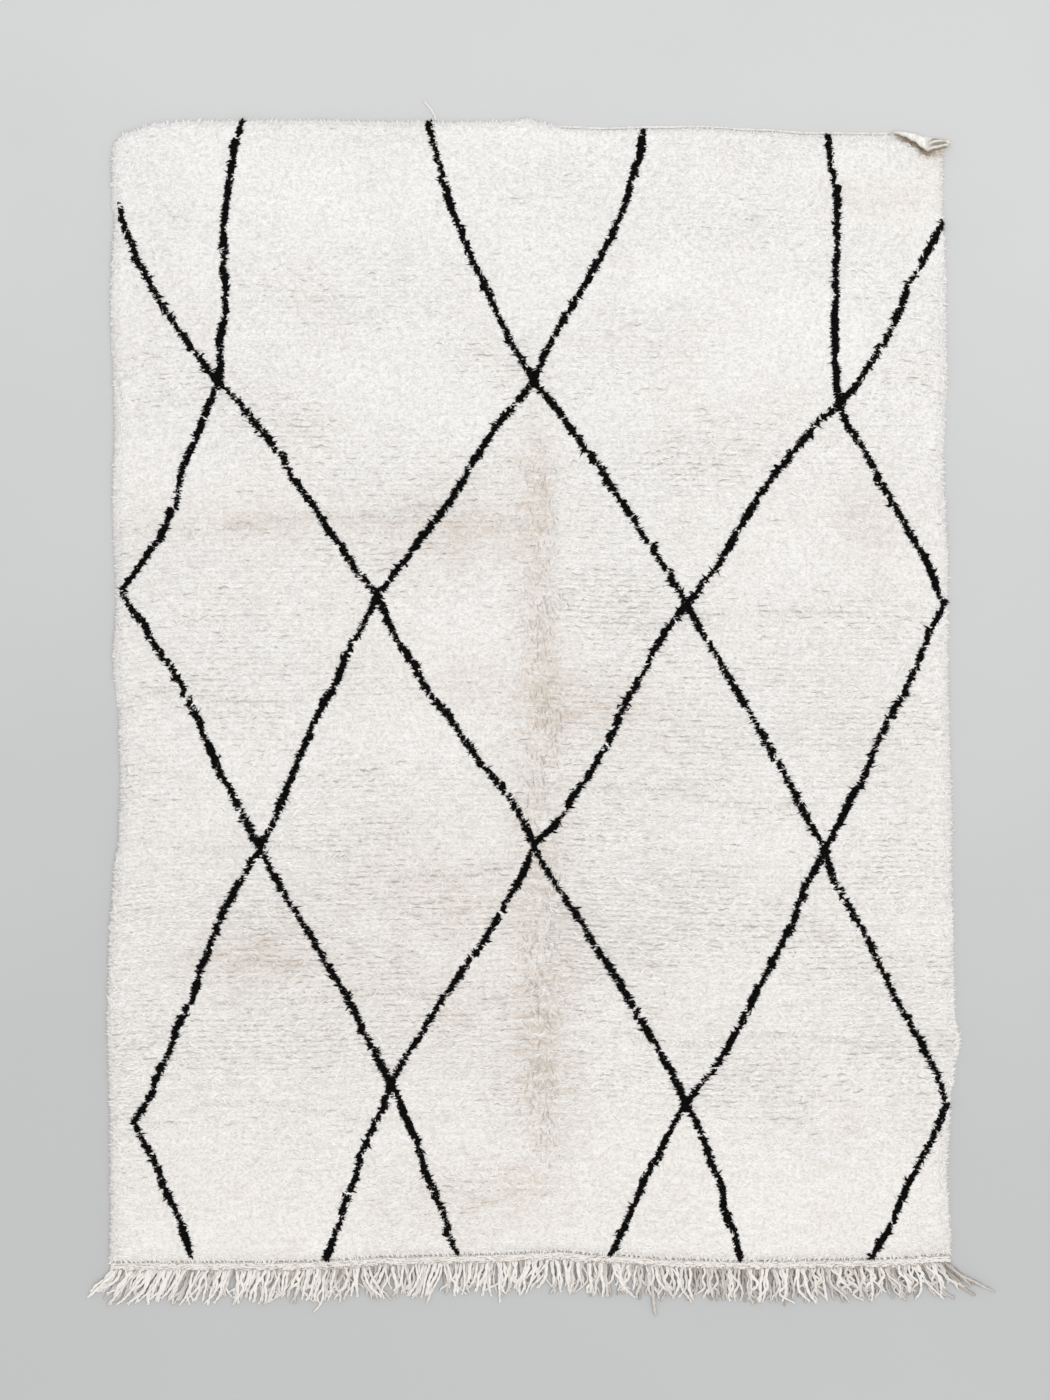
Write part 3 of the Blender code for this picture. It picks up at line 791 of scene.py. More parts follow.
def unit_grid(columns: int, rows: int) -> tuple[bmesh.types.BMesh, Array]:
    """A flat grid, with its points' shares of its width and length."""
    bm = bmesh.new()
    bmesh.ops.create_grid(bm, x_segments=columns, y_segments=rows, size=0.5)
    return bm, np.array([vert.co[:2] for vert in bm.verts]) + 0.5


def lay(bm: bmesh.types.BMesh, x: Array, y: Array, z: Array, facts: dict[str, Array]) -> None:
    """Lay a grid over the rug and close it down to the floor.

    Args:
        bm: the grid.
        x: its points' places across the rug.
        y: their places along it.
        z: their heights.
        facts: named values for the material, one for each point.
    """
    for vert, place in zip(bm.verts, zip(x, y, z)):
        vert.co = place
    for name, values in facts.items():
        layer = bm.verts.layers.float.new(name)
        for vert, value in zip(bm.verts, values):
            vert[layer] = float(value)
    rim = [edge for edge in bm.edges if edge.is_boundary]
    drawn = bmesh.ops.extrude_edge_only(bm, edges=rim)["geom"]
    for vert in (item for item in drawn if isinstance(item, bmesh.types.BMVert)):
        vert.co.z = 0.0
    fill_holes(bm)


def fill_holes(bm: bmesh.types.BMesh) -> None:
    """Close a mesh's open ends."""
    bmesh.ops.holes_fill(bm, edges=[edge for edge in bm.edges if edge.is_boundary], sides=0)


def linear_colour(code: str) -> Colour:
    """Turn an sRGB hex value into a linear colour.

    Args:
        code: six hex digits.

    Returns:
        Linear red, green and blue, and an alpha of 1.
    """
    shares = [int(code[start:start + 2], 16) / 255 for start in (0, 2, 4)]
    linear = [share / 12.92 if share <= 0.04045 else ((share + 0.055) / 1.055) ** 2.4 for share in shares]
    return (*linear, 1.0)


def grey(value: float) -> Colour:
    """A grey as a colour."""
    return (value, value, value, 1.0)


def add_node(tree: Tree, kind: str, settings: dict | None = None,
             inputs: dict | None = None, stops: tuple = ()) -> bpy.types.Node:
    """Add a node with its settings and its inputs.

    Args:
        tree: the material's node tree.
        kind: the node's type, without the leading ShaderNode.
        settings: properties of the node.
        inputs: for each input by name or number, a value or the socket that feeds it.
        stops: a colour ramp's two (place, linear colour) pairs, in order.

    Returns:
        The new node.
    """
    node = tree.nodes.new(f"ShaderNode{kind}")
    for name, value in (settings or {}).items():
        setattr(node, name, value)
    for name, value in (inputs or {}).items():
        if isinstance(value, Socket):
            tree.links.new(value, node.inputs[name])
        else:
            node.inputs[name].default_value = value
    for number, (place, colour) in enumerate(stops):
        node.color_ramp.elements[number].position = place
        node.color_ramp.elements[number].color = colour
    return node


def grain(tree: Tree, place: Socket, scale: tuple[float, float, float]) -> Socket:
    """Noise that is drawn out along a wool's fibres.

    Args:
        tree: the material's node tree.
        place: where the noise is read.
        scale: how many swells there are in one unit of the place, on each axis.

    Returns:
        The noise's socket.
    """
    drawn = add_node(tree, "Mapping", inputs={"Vector": place, "Scale": scale}).outputs[0]
    inputs = {"Vector": drawn, "Scale": 1.0, "Detail": 3.0, "Roughness": 0.6}
    return add_node(tree, "TexNoise", inputs=inputs).outputs["Fac"]


def tinted_and_shaded(tree: Tree, colour: Socket, facts: dict[str, Socket], **codes: str) -> Socket:
    """Mix a colour towards others, each by one of the piece's own facts.

    Args:
        tree: the material's node tree.
        colour: the clean colour.
        facts: a socket for each fact.
        codes: for each fact, the colour that it mixes towards (a tint, a soil and a painted shade among
            them), as an sRGB hex value.

    Returns:
        The mixed colour's socket.
    """
    for fact, code in codes.items():
        inputs = {"Factor": facts[fact], MIX_A: colour, MIX_B: linear_colour(code)}
        colour = add_node(tree, "Mix", BLEND, inputs).outputs[MIXED]
    return colour


def dyed(tree: Tree, colour: Socket, black: Socket | Colour, ink: Socket, fibres: Socket,
         blur: float) -> Socket:
    """Put black on a wool colour where the ink is stronger than the fibres' own noise.

    Args:
        tree: the material's node tree.
        colour: the undyed colour.
        black: the dyed one.
        ink: how black the place is.
        fibres: the wool's grain.
        blur: how soft the dye's edge is.

    Returns:
        The dyed colour's socket.
    """
    over = add_node(tree, "Math", {"operation": "SUBTRACT"}, {0: ink, 1: fibres}).outputs[0]
    span = {"Value": over, "From Min": -blur, "From Max": blur}
    inked = add_node(tree, "MapRange", {"clamp": True}, span).outputs[0]
    return add_node(tree, "Mix", BLEND, {"Factor": inked, MIX_A: colour, MIX_B: black}).outputs[MIXED]


def painted_curl_shade(tree: Tree, colour: Socket, place: Socket, size: float,
                 shade: float) -> Socket:
    """Darken a wool colour where noise marks small hollows between its curls: painted shade.

    Args:
        tree: the material's node tree.
        colour: the wool's colour.
        place: the place on the rug, in metres.
        size: how wide a curl is, in metres.
        shade: how much of the light comes out of a hollow.

    Returns:
        The darkened colour's socket.
    """
    curls = add_node(tree, "TexNoise", inputs={"Vector": place, "Scale": 1.0 / size, "Detail": 1.5})
    hollow = add_node(tree, "ValToRGB", inputs={"Fac": curls.outputs["Fac"]},
                      stops=((0.36, grey(shade)), (0.54, grey(1.0)))).outputs["Color"]
    return add_node(tree, "Mix", SHADE, {"Factor": 1.0, MIX_A: colour, MIX_B: hollow}).outputs[MIXED]


@dataclass(frozen=True)
class Finish:
    """What all finishes share: a name, a gloss, and the start and the end of a material.

    The specular level is the shader's own where a finish gives none.
    """

    name: str
    roughness: float = 0.95
    specular: float = 0.5
    depth: float = 0.0

    def start(self, *facts: str) -> tuple[Material, dict[str, Socket]]:
        """Start a material.

        Args:
            facts: the piece's own attributes that it reads.

        Returns:
            The material, and sockets for each fact and for the place on the rug in metres.
        """
        material = bpy.data.materials.new(self.name)
        material.use_nodes = True
        tree = material.node_tree
        shader = tree.nodes["Principled BSDF"]
        shader.inputs["Roughness"].default_value = self.roughness
        shader.inputs["Metallic"].default_value = 0.0
        shader.inputs["Specular IOR Level"].default_value = self.specular
        read = {"place": add_node(tree, "TexCoord").outputs["Object"]}
        for fact in facts:
            read[fact] = add_node(tree, "Attribute", {"attribute_name": fact}).outputs["Fac"]
        return material, read

    def end(self, material: Material, colour: Socket,
            height: Socket | None = None) -> Material:
        """Give a material's shader its colour and its bump.

        Args:
            material: what `start` returned.
            colour: the finish's colour.
            height: what raises the surface by the finish's depth, or nothing where it is plain.

        Returns:
            The material.
        """
        tree = material.node_tree
        shader = tree.nodes["Principled BSDF"]
        tree.links.new(colour, shader.inputs["Base Color"])
        if height is not None:
            inputs = {"Strength": 1.0, "Distance": self.depth, "Height": height}
            tree.links.new(add_node(tree, "Bump", inputs=inputs).outputs[0], shader.inputs["Normal"])
        return material


@dataclass(frozen=True)
class PileWool(Finish):
    """Hand-spun wool in cut pile: matt, cream, each knot of its own tone, with black ones and painted
    shade.
    """

    name: str = "hand_spun_wool_pile"
    specular: float = 0.05
    depth: float = 0.60 * MILLIMETRE
    cream: str = "F7F6F5"
    shade: str = "E1DEDC"
    warm: str = "DACDC0"
    soiled: str = "8C7863"
    black: str = "060607"
    rusty_black: str = "110F0E"
    root_shade: float = 0.95
    sheen: float = 0.02
    sheen_roughness: float = 0.6
    fibres_around: float = 9.0
    fibres_along: float = 1.2
    dye_blur: float = 0.05
    curl_size: float = 6.5 * MILLIMETRE
    curl_shade: float = 0.915

    def make(self, cells: int) -> Material:
        """Make the material for a piece whose UV map has so many cells a side."""
        material, read = self.start("tone", "warmth", "ink", "along", "soil")
        tree = material.node_tree
        shader = tree.nodes["Principled BSDF"]
        shader.inputs["Sheen Weight"].default_value = self.sheen
        shader.inputs["Sheen Roughness"].default_value = self.sheen_roughness
        uv = add_node(tree, "UVMap", {"uv_map": "OFBake"}).outputs[0]
        fibres = grain(tree, uv, (cells * self.fibres_around, cells * self.fibres_along, 1.0))
        lifted = add_node(tree, "Math", {"operation": "MULTIPLY_ADD"}, {0: fibres, 1: 2.0, 2: -1.0})
        mixed = add_node(tree, "Math", {"operation": "ADD"}, {0: read["tone"], 1: lifted.outputs[0]})
        cream = add_node(tree, "ValToRGB", inputs={"Fac": mixed.outputs[0]}, stops=(
            (0.0, linear_colour(self.shade)), (0.7, linear_colour(self.cream)))).outputs["Color"]
        wool = tinted_and_shaded(tree, cream, read, warmth=self.warm, soil=self.soiled)
        black = add_node(tree, "ValToRGB", inputs={"Fac": fibres}, stops=(
            (0.35, linear_colour(self.black)), (0.75, linear_colour(self.rusty_black)))).outputs["Color"]
        wool = dyed(tree, wool, black, read["ink"], fibres, self.dye_blur)
        # Painted shade: each wisp is drawn a little darker towards its root.
        root = add_node(tree, "ValToRGB", inputs={"Fac": read["along"]}, stops=(
            (0.1, grey(self.root_shade)), (0.7, grey(1.0)))).outputs["Color"]
        wool = add_node(tree, "Mix", SHADE, {"Factor": 1.0, MIX_A: wool, MIX_B: root}).outputs[MIXED]
        wool = painted_curl_shade(tree, wool, read["place"], self.curl_size, self.curl_shade)
        return self.end(material, wool, fibres)


@dataclass(frozen=True)
class GroundWool(Finish):
    """The felted wool between the knots' tips: fibres that lie mostly across the rug."""

    name: str = "felted_wool_ground"
    specular: float = 0.05
    depth: float = 1.2 * MILLIMETRE
    cream: str = "F3F2F0"
    shade: str = "DFDCD8"
    warm: str = "D2C5B6"
    soiled: str = "8A7C68"
    black: str = "080808"
    fibre_width: float = 2.0 * MILLIMETRE
    fibre_length: float = 6.0 * MILLIMETRE
    dye_blur: float = 0.04
    curl_size: float = 6.5 * MILLIMETRE
    curl_shade: float = 0.89

    def make(self) -> Material:
        """Make the material, which reads the piece's own ink, warmth and painted shade."""
        material, read = self.start("ink", "warmth", "soil")
        tree = material.node_tree
        scale = (1 / self.fibre_length, 1 / self.fibre_width, 1 / self.fibre_width)
        fibres = grain(tree, read["place"], scale)
        cream = add_node(tree, "ValToRGB", inputs={"Fac": fibres}, stops=(
            (0.35, linear_colour(self.shade)), (0.55, linear_colour(self.cream)))).outputs["Color"]
        wool = tinted_and_shaded(tree, cream, read, warmth=self.warm, soil=self.soiled)
        wool = dyed(tree, wool, linear_colour(self.black), read["ink"], fibres, self.dye_blur)
        wool = painted_curl_shade(tree, wool, read["place"], self.curl_size, self.curl_shade)
        return self.end(material, wool, fibres)


@dataclass(frozen=True)
class WarpYarn(Finish):
    """Plied wool warp, natural white: a firm, slightly smoother yarn than the pile's."""

    name: str = "plied_wool_warp"
    roughness: float = 0.9
    depth: float = 0.25 * MILLIMETRE
    white: str = "EBE7E2"
    soiled: str = "9E968E"
    fibre_size: float = 1.2 * MILLIMETRE
    fibre_share: float = 0.5

    def make(self) -> Material:
        """Make the material, which reads each strand's own tone."""
        material, read = self.start("tone")
        tree = material.node_tree
        inputs = {"Vector": read["place"], "Scale": 1.0 / self.fibre_size, "Detail": 2.0}
        fibres = add_node(tree, "TexNoise", inputs=inputs).outputs["Fac"]
        mixed = add_node(tree, "Math", {"operation": "MULTIPLY_ADD"},
                         {0: fibres, 1: self.fibre_share, 2: read["tone"]})
        colour = add_node(tree, "ValToRGB", inputs={"Fac": mixed.outputs[0]}, stops=(
            (0.15, linear_colour(self.soiled)), (0.75, linear_colour(self.white)))).outputs["Color"]
        return self.end(material, colour, fibres)


@dataclass(frozen=True)
class FlatWeave(Finish):
    """Weft-faced flat weave at the rug's ends: close ribs of wool, lightly soiled, with painted shade in
    its folds.
    """

    name: str = "weft_faced_flat_weave"
    depth: float = 2.4 * MILLIMETRE
    white: str = "FDFBF8"
    groove: str = "E4DFD8"
    soiled: str = "8F8570"
    rib_pitch: float = 4.0 * MILLIMETRE
    rib_stretch: float = 0.35
    fibre_size: float = 1.3 * MILLIMETRE
    fibre_share: float = 0.55

    def make(self) -> Material:
        """Make the material: ribs across the warp, with the piece's own soil and painted shade."""
        material, read = self.start("soil")
        tree = material.node_tree
        drawn = self.rib_stretch / self.rib_pitch
        ribs = grain(tree, read["place"], (1.0 / self.rib_pitch, drawn, drawn))
        inputs = {"Vector": read["place"], "Scale": 1.0 / self.fibre_size, "Detail": 2.0}
        fibres = add_node(tree, "TexNoise", inputs=inputs).outputs["Fac"]
        height = add_node(tree, "Math", {"operation": "MULTIPLY_ADD"},
                          {0: fibres, 1: self.fibre_share, 2: ribs}).outputs[0]
        clean = add_node(tree, "ValToRGB", inputs={"Fac": height}, stops=(
            (0.60, linear_colour(self.groove)), (0.84, linear_colour(self.white)))).outputs["Color"]
        return self.end(material, tinted_and_shaded(tree, clean, read, soil=self.soiled), height)


@dataclass(frozen=True)
class PaleFloor(Finish):
    """A plain pale floor, matt, with a faint cloudiness, and painted light that lightens its far side."""

    name: str = "pale_matt_floor"
    roughness: float = 0.8
    light: str = "CBCCCC"
    dark: str = "B9BABA"
    cloud_size: float = 0.5
    cloud_share: float = 0.30
    painted_light_way: tuple[float, float, float] = (0.12, 1.0, 0.0)
    painted_light_span: Pair = (-0.7, 1.1)
    painted_light_strength: float = 0.7

    def make(self) -> Material:
        """Make the floor's material."""
        material, read = self.start()
        tree = material.node_tree
        inputs = {"Vector": read["place"], "Scale": 1.0 / self.cloud_size, "Detail": 4.0}
        cloud = add_node(tree, "TexNoise", inputs=inputs).outputs["Fac"]
        # Painted light: the floor is drawn lighter towards +Y.
        way = add_node(tree, "VectorMath", {"operation": "DOT_PRODUCT"},
                       {0: read["place"], 1: self.painted_light_way}).outputs["Value"]
        near, far = self.painted_light_span
        span = {"Value": way, "From Min": near, "From Max": far, "To Max": self.painted_light_strength}
        lit = add_node(tree, "MapRange", {"clamp": True}, span).outputs[0]
        mixed = add_node(tree, "Math", {"operation": "MULTIPLY_ADD"},
                         {0: cloud, 1: self.cloud_share, 2: lit})
        colour = add_node(tree, "ValToRGB", inputs={"Fac": mixed.outputs[0]}, stops=(
            (0.15, linear_colour(self.dark)), (0.85, linear_colour(self.light)))).outputs["Color"]
        return self.end(material, colour)


@dataclass
class GroundWeave:
    """The slab of ground weave and knot roots that the pile stands on, with a groove between rows."""

    shift: Vector
    lattice: Lattice
    rows: int = 212
    columns: int = 150
    below: float = 0.0014
    least_share: float = 0.62
    groove: float = 0.0026
    inset: float = 0.0022
    lump: float = 0.0011
    lump_size: float = 0.011

    def build(self) -> Thing:
        """Build the slab, with two steps of its grid to a row of knots."""
        steps = 2 * self.rows
        bm, share = unit_grid(self.columns, steps)
        x, y = CLOTH.places(share[:, 0], share[:, 1], self.inset)
        between = np.round(share[:, 1] * steps).astype(int) % 2 == 0
        top = CLOTH.pile_top(x, y)
        depth = self.below + self.groove * between * WEAR.combed(x, y)
        depth -= self.lump * soft_noise(x, y, self.lump_size, Layer.GROUND_LUMP)
        height = np.maximum(top - depth, top * self.least_share)
        # The last value here is painted shadow under the turned-up corner.
        facts = {"ink": self.lattice.ink(x, y), "warmth": WEAR.warmth(x, y), "soil": WEAR.corner_shadow(x, y)}
        lay(bm, x, y, height, facts)
        return finished("ground_weave", bm, self.shift, GroundWool().make())


@dataclass
class Pile:
    """The knots: each a few wisps of wool that lie over on their neighbours."""

    shift: Vector
    lattice: Lattice
    rows: int = 212
    columns: int = 170
    stagger: float = 0.125
    bands: int = 5
    sides: int = 3
    levels: int = 3
    wisps: tuple[float, ...] = (-0.0031, 0.0, 0.0031)
    black_wisps: tuple[float, ...] = (-0.0046, 0.0046)
    rim_wisps: tuple[float, ...] = (-0.0016, 0.0016, 0.0044)
    combed_squeeze: float = 0.22
    reach: float = 0.0205
    felted_reach: Pair = (0.76, 0.24)
    reach_share: Pair = (0.70, 1.30)
    spike: float = 1.2
    black_reach: float = 0.0114
    wisp_width: float = 0.0036
    black_width: float = 0.0054
    width_share: Pair = (0.45, 1.30)
    wisp_thickness: float = 0.0017
    thickness_share: Pair = (0.8, 1.2)
    belly: Pair = (0.34, 0.66)
    bend: float = 0.0018
    parting_share: float = 0.95
    parting_patch: float = 0.085
    parting_squeeze: float = 0.45
    parting_patchy: Pair = (0.45, 1.5)
    parting_from: float = 0.32
    parting_over: float = 0.60
    parting_furrow: float = 0.5
    parting_clear: float = 1.5
    parting_reach: Pair = (0.005, 0.028)
    parting_width: float = 0.0021
    parting_rise: float = 0.0004
    parting_turn: float = 0.13
    parting_soil: Pair = (0.10, 0.68)
    crimp_share: float = 0.80
    crimp_patch: float = 0.070
    crimp_patchy: Pair = (0.52, 1.25)
    crimp_waver: float = 0.012
    crimp_waver_size: float = 0.045
    crimp_from: float = 0.4
    crimp_grip: float = 1.4
    crimp_less_shade: float = 0.10
    crimp_reach: Pair = (0.008, 0.026)
    crimp_swing: float = 0.35
    crimp_swing_size: float = 0.03
    crimp_turn: float = 0.32
    sunk: float = 0.0040
    droop: float = 0.0022
    sharp: float = 55.0
    jitter: float = 0.0028
    black_jitter: float = 0.35
    row_jitter: float = 0.4
    row_part: float = 0.0032
    row_part_size: float = 0.030
    row_part_least: float = 0.35
    part_step: float = 7.3
    missed_step: float = 3.7
    uneven: float = 0.0005
    black_rise: float = 0.0016
    lean_patch: float = 0.11
    lean_stray: float = 0.20
    swing: Pair = (0.95, 0.60)
    swing_patch: float = 0.40
    swing_patch_size: float = 0.05
    fold_force: float = 1.6
    furrow_force: float = 1.1
    crease_reach: float = 1.3
    rim_turn: float = 0.018
    rim_force: float = 3.2
    rim_grip: float = 1.5
    rim_wall: float = 0.010
    rim_hang: float = 0.60
    rim_waver: tuple[float, float, float] = (0.8, 0.6, 0.9)
    rim_waver_sizes: Pair = (0.045, 0.011)
    loose_tips: Pair = (-0.6, 1.0)
    weave_top: float = 0.0052
    overhang: float = 0.0045
    band_overhang: Pair = (0.0012, 0.3)
    heading_overhang: float = 0.6
    black_ink: float = 0.95
    fuzz_ink: float = 0.35
    tone_stray: float = 0.15
    warmth_share: Pair = (0.6, 1.2)
    clear: tuple[float, float, float] = (0.0008, 0.0015, 0.0003)
    pattern: Pattern = field(init=False)

    def __post_init__(self) -> None:
        """Make the wisp that is repeated, with a flat side on top."""
        flat_on_top = math.pi / 2 - math.pi / self.sides
        self.pattern = tube_pattern(self.sides, self.levels, flat_on_top)

    def lean(self, x: Array, y: Array, comb: Array, chance: Chance) -> Array:
        """Level unit vectors in which the wisps lie.

        Args:
            x: places across the rug.
            y: places along it.
            comb: how clearly the rows show there.
            chance: the pile's own random numbers.

        Returns:
            One vector for each place.
        """
        patch = soft_noise(x, y, self.lean_patch, Layer.LEAN) + chance.normal(0.0, self.lean_stray, x.shape)
        free, held = self.swing
        swing = self.swing_patch * soft_noise(x, y, self.swing_patch_size, Layer.SWING)
        swing = swing + (free - held * comb) * chance.normal(0.0, 1.0, x.shape)
        lean = headings(np.where(patch > 0.0, swing, math.pi - swing))
        for force, creases in ((self.fold_force, FOLD_CREASES), (self.furrow_force, ROW_CREASES)):
            for crease in creases:
                away = CLOTH.crease_offset(crease, x, y)
                distance = np.linalg.norm(away, axis=-1)
                near = np.clip(1.0 - distance / (self.crease_reach * crease.width), 0.0, 1.0)
                lean = lean + force * near[..., None] * unit(away)
        return unit(lean + self.outward(x, y))

    def outward(self, x: Array, y: Array) -> Array:
        """Vectors that turn the wisps outward near the rim."""
        above = CLOTH.pile_end(x) - y + self.rim_turn * (x > CLOTH.ear_start)
        sides = ((x - CLOTH.left(y), (-1.0, 0.0)), (CLOTH.right(y) - x, (1.0, 0.0)),
                 (above, (0.0, 1.0)), (y - CLOTH.foot(x), (0.0, -1.0)))
        total = np.zeros((*x.shape, 2))
        for distance, way in sides:
            weight = np.clip(1.0 - distance / self.rim_turn, 0.0, 1.0) ** self.rim_grip
            total += self.rim_force * weight[..., None] * np.array(way)
        return total

    def knots(self) -> tuple[Array, Array, Array]:
        """Places of all knots from the foot to the top, as x and y, and which of them are black."""
        row, column = np.meshgrid(np.arange(self.rows), np.arange(self.columns), indexing="ij")
        row, column = row.ravel(), column.ravel()
        moved = self.stagger * (2 * (row % 2) - 1)
        x, y = CLOTH.places((column + 0.5 + moved) / self.columns, (row + 0.5) / self.rows)
        way = self.lattice.nearest(x, y)
        parting = soft_noise(x / self.row_part_size, row * self.part_step, 1.0, Layer.ROW_PART)
        shown = self.row_part_least + (1.0 - self.row_part_least) * WEAR.combed(x, y)
        y = y + self.row_part * parting * shown
        missed = soft_noise(x / self.lattice.missed_size, row * self.missed_step, 1.0, Layer.MISSED_KNOT)
        black = (np.abs(way) < self.lattice.reach(x, y)) & (missed <= self.lattice.missed_above)
        return np.where(black, x + self.lattice.pull * way, x), y, black

    def spread(self, chance: Chance) -> dict[str, Array]:
        """Spread every knot into its wisps.

        Args:
            chance: the pile's own random numbers.

        Returns:
            x and y of each wisp, and the values that its shape and its colour take.
        """
        x, y, black = self.knots()
        rim = np.flatnonzero(CLOTH.rim_distance(x, y) < self.rim_wall)
        layers = ((np.arange(len(x)), self.wisps), (np.flatnonzero(black), self.black_wisps),
                  (rim, self.rim_wisps))
        placed = [(knots, place) for knots, places in layers for place in places]
        source = np.concatenate([knots for knots, _ in placed])
        offset = np.concatenate([np.full(len(knots), place) for knots, place in placed])
        order = np.argsort(source, kind="stable")
        source, offset = source[order], offset[order]
        x, y, black = x[source], y[source], black[source]
        comb = WEAR.combed(x, y)
        stray = np.where(black, self.black_jitter, 1.0) * self.jitter
        x = x + chance.uniform(-1, 1, x.shape) * stray
        waver = self.crimp_waver * soft_noise(x, y, self.crimp_waver_size, Layer.FOLD_WAVER)
        fold = CLOTH.middle_fold(x + waver, y)
        thin = (offset == max(self.wisps)) | ((offset == 0.0) & (fold > self.crimp_from))
        parting = self.parting(x, y, comb, fold, chance) & ~black & thin
        crimped = parting & (chance.random(x.shape) < self.crimp_grip * fold)
        between = y + 0.5 * CLOTH.length / self.rows
        y = y + offset * (1.0 - self.combed_squeeze * comb * ~black)
        y = y + chance.uniform(-self.row_jitter, self.row_jitter, x.shape) * stray
        y = np.where(parting & ~crimped, between, y)
        fuzz = np.clip(1.0 - np.abs(self.lattice.nearest(x, y)) / self.lattice.fuzz_reach, 0.0, 1.0)
        ink = np.where(black, self.black_ink, self.fuzz_ink * fuzz * chance.random(x.shape))
        tone = np.clip(WEAR.tone(x, y) + chance.normal(0.0, self.tone_stray, x.shape), 0.0, 1.0)
        warm = np.clip(WEAR.warmth(x, y) * chance.uniform(*self.warmth_share, x.shape), 0.0, 1.0)
        # Parting wisps are darkened as painted shadow between rows, crimped ones a little less; wisps under
        # the turned-up corner take painted shadow too.
        shaded_parting = parting * chance.uniform(*self.parting_soil, x.shape) - self.crimp_less_shade * crimped
        return {"x": x, "y": y, "black": black, "comb": comb, "ink": ink, "tone": tone, "warmth": warm,
                "soil": np.maximum(WEAR.corner_shadow(x, y), shaded_parting), "parting": parting, "crimped": crimped}

    def parting(self, x: Array, y: Array, comb: Array, fold: Array, chance: Chance) -> Array:
        """Which wisps are thin ones darkened as painted shadow, seen where two rows part or in the middle
        fold.

        Args:
            x: places across the rug.
            y: places along it.
            comb: how clearly the rows show there.
            fold: how near the middle fold is.
            chance: the pile's own random numbers.

        Returns:
            Whether each wisp is such a thin one.
        """
        (least, more), (least_crush, more_crush) = self.parting_patchy, self.crimp_patchy
        patchy = soft_noise(x * self.parting_squeeze, y, self.parting_patch, Layer.PARTING)
        patch = np.clip(least + more * patchy, 0.0, 1.0)
        shows = np.clip((comb - self.parting_from) / self.parting_over, 0.0, 1.0)
        share = self.parting_share * shows * patch + self.parting_furrow * CLOTH.furrow(x, y)
        crushing = soft_noise(x, y, self.crimp_patch, Layer.CRUSHED)
        crushed = np.clip(least_crush + more_crush * crushing, 0.0, 1.0)
        share = np.maximum(share, self.crimp_share * fold * crushed)
        inside = CLOTH.rim_distance(x, y) > self.parting_clear * self.rim_wall
        return inside & (chance.random(x.shape) < share)

    def shape(self, wisps: dict[str, Array], chance: Chance) -> Array:
        """Points of all wisps.

        Args:
            wisps: what `spread` returned.
            chance: the pile's own random numbers.

        Returns:
            The points, as wisps x points x 3.
        """
        x, y, black, comb = (wisps[name] for name in ("x", "y", "black", "comb"))
        parting, crimped = wisps["parting"], wisps["crimped"]
        lean = self.lean(x, y, comb, chance)
        swing = self.crimp_swing * soft_noise(x, y, self.crimp_swing_size, Layer.CRIMP_TURN)
        turn = np.where(crimped, 0.5 * math.pi + swing, 0.0)
        turn += np.where(crimped, self.crimp_turn, self.parting_turn) * chance.normal(0.0, 1.0, x.shape)
        lean = np.where(parting[:, None], headings(turn), lean)
        spike = self.spike * chance.random(x.shape) ** 4 * black
        least, more = self.felted_reach
        long = np.where(black, self.black_reach, self.reach * (least + more * comb))
        long = long * (chance.uniform(*self.reach_share, x.shape) + spike)
        spans = np.array([self.crimp_reach, self.parting_reach])
        short, far = np.where(crimped, spans[0][:, None], spans[1][:, None])
        long = np.where(parting, short + (far - short) * chance.random(x.shape) ** 2, long)
        tip = self.held_in(np.stack([x, y], axis=-1) + lean * (0.5 * long)[:, None], chance)
        root = tip - lean * long[:, None]
        belly = chance.uniform(*self.belly, (len(x), 1))
        middle = root + (tip - root) * belly + chance.normal(0.0, self.bend, (len(x), 2))
        flat = np.stack([root, middle, tip], axis=1)
        full = CLOTH.inner_top(middle[:, 0], middle[:, 1]) + self.black_rise * black
        full += self.uneven * (0.5 + comb) * chance.normal(0.0, 1.0, x.shape) + self.parting_rise * parting
        tops = CLOTH.rounded(full[:, None], flat[..., 0], flat[..., 1])
        wide = np.where(parting, self.parting_width, np.where(black, self.black_width, self.wisp_width))
        wide = 0.5 * wide * chance.uniform(*self.width_share, x.shape)
        thick = 0.5 * self.wisp_thickness * chance.uniform(*self.thickness_share, x.shape)
        wall = np.clip(1.0 - CLOTH.rim_distance(tip[:, 0], tip[:, 1]) / self.rim_wall, 0.0, 1.0)
        hang = 1.0 - self.rim_hang * wall * chance.random(x.shape)
        lowest_end, lowest_crown, floor = self.clear
        low = np.maximum(tops[:, 0] - np.where(parting, thick, self.sunk), lowest_end)
        crown = np.maximum(tops[:, 1] - thick, lowest_crown)
        droop = self.droop * chance.random(x.shape) * ~parting
        end = np.maximum(tops[:, 2] * hang - thick - droop, lowest_end)
        on_weave = (tip[:, 1] < CLOTH.foot(tip[:, 0])) | (tip[:, 1] > CLOTH.pile_end(tip[:, 0]))
        end = np.where(on_weave, np.maximum(end, self.weave_top), end)
        path = np.concatenate([flat, np.stack([low, crown, end], axis=1)[..., None]], axis=-1)
        girth = np.array((0.0, 1.0, 0.0))
        points = sweep(self.pattern, path, square_to(lean), wide[:, None] * girth, thick[:, None] * girth)
        points[..., 2] = np.maximum(points[..., 2], floor)
        return points

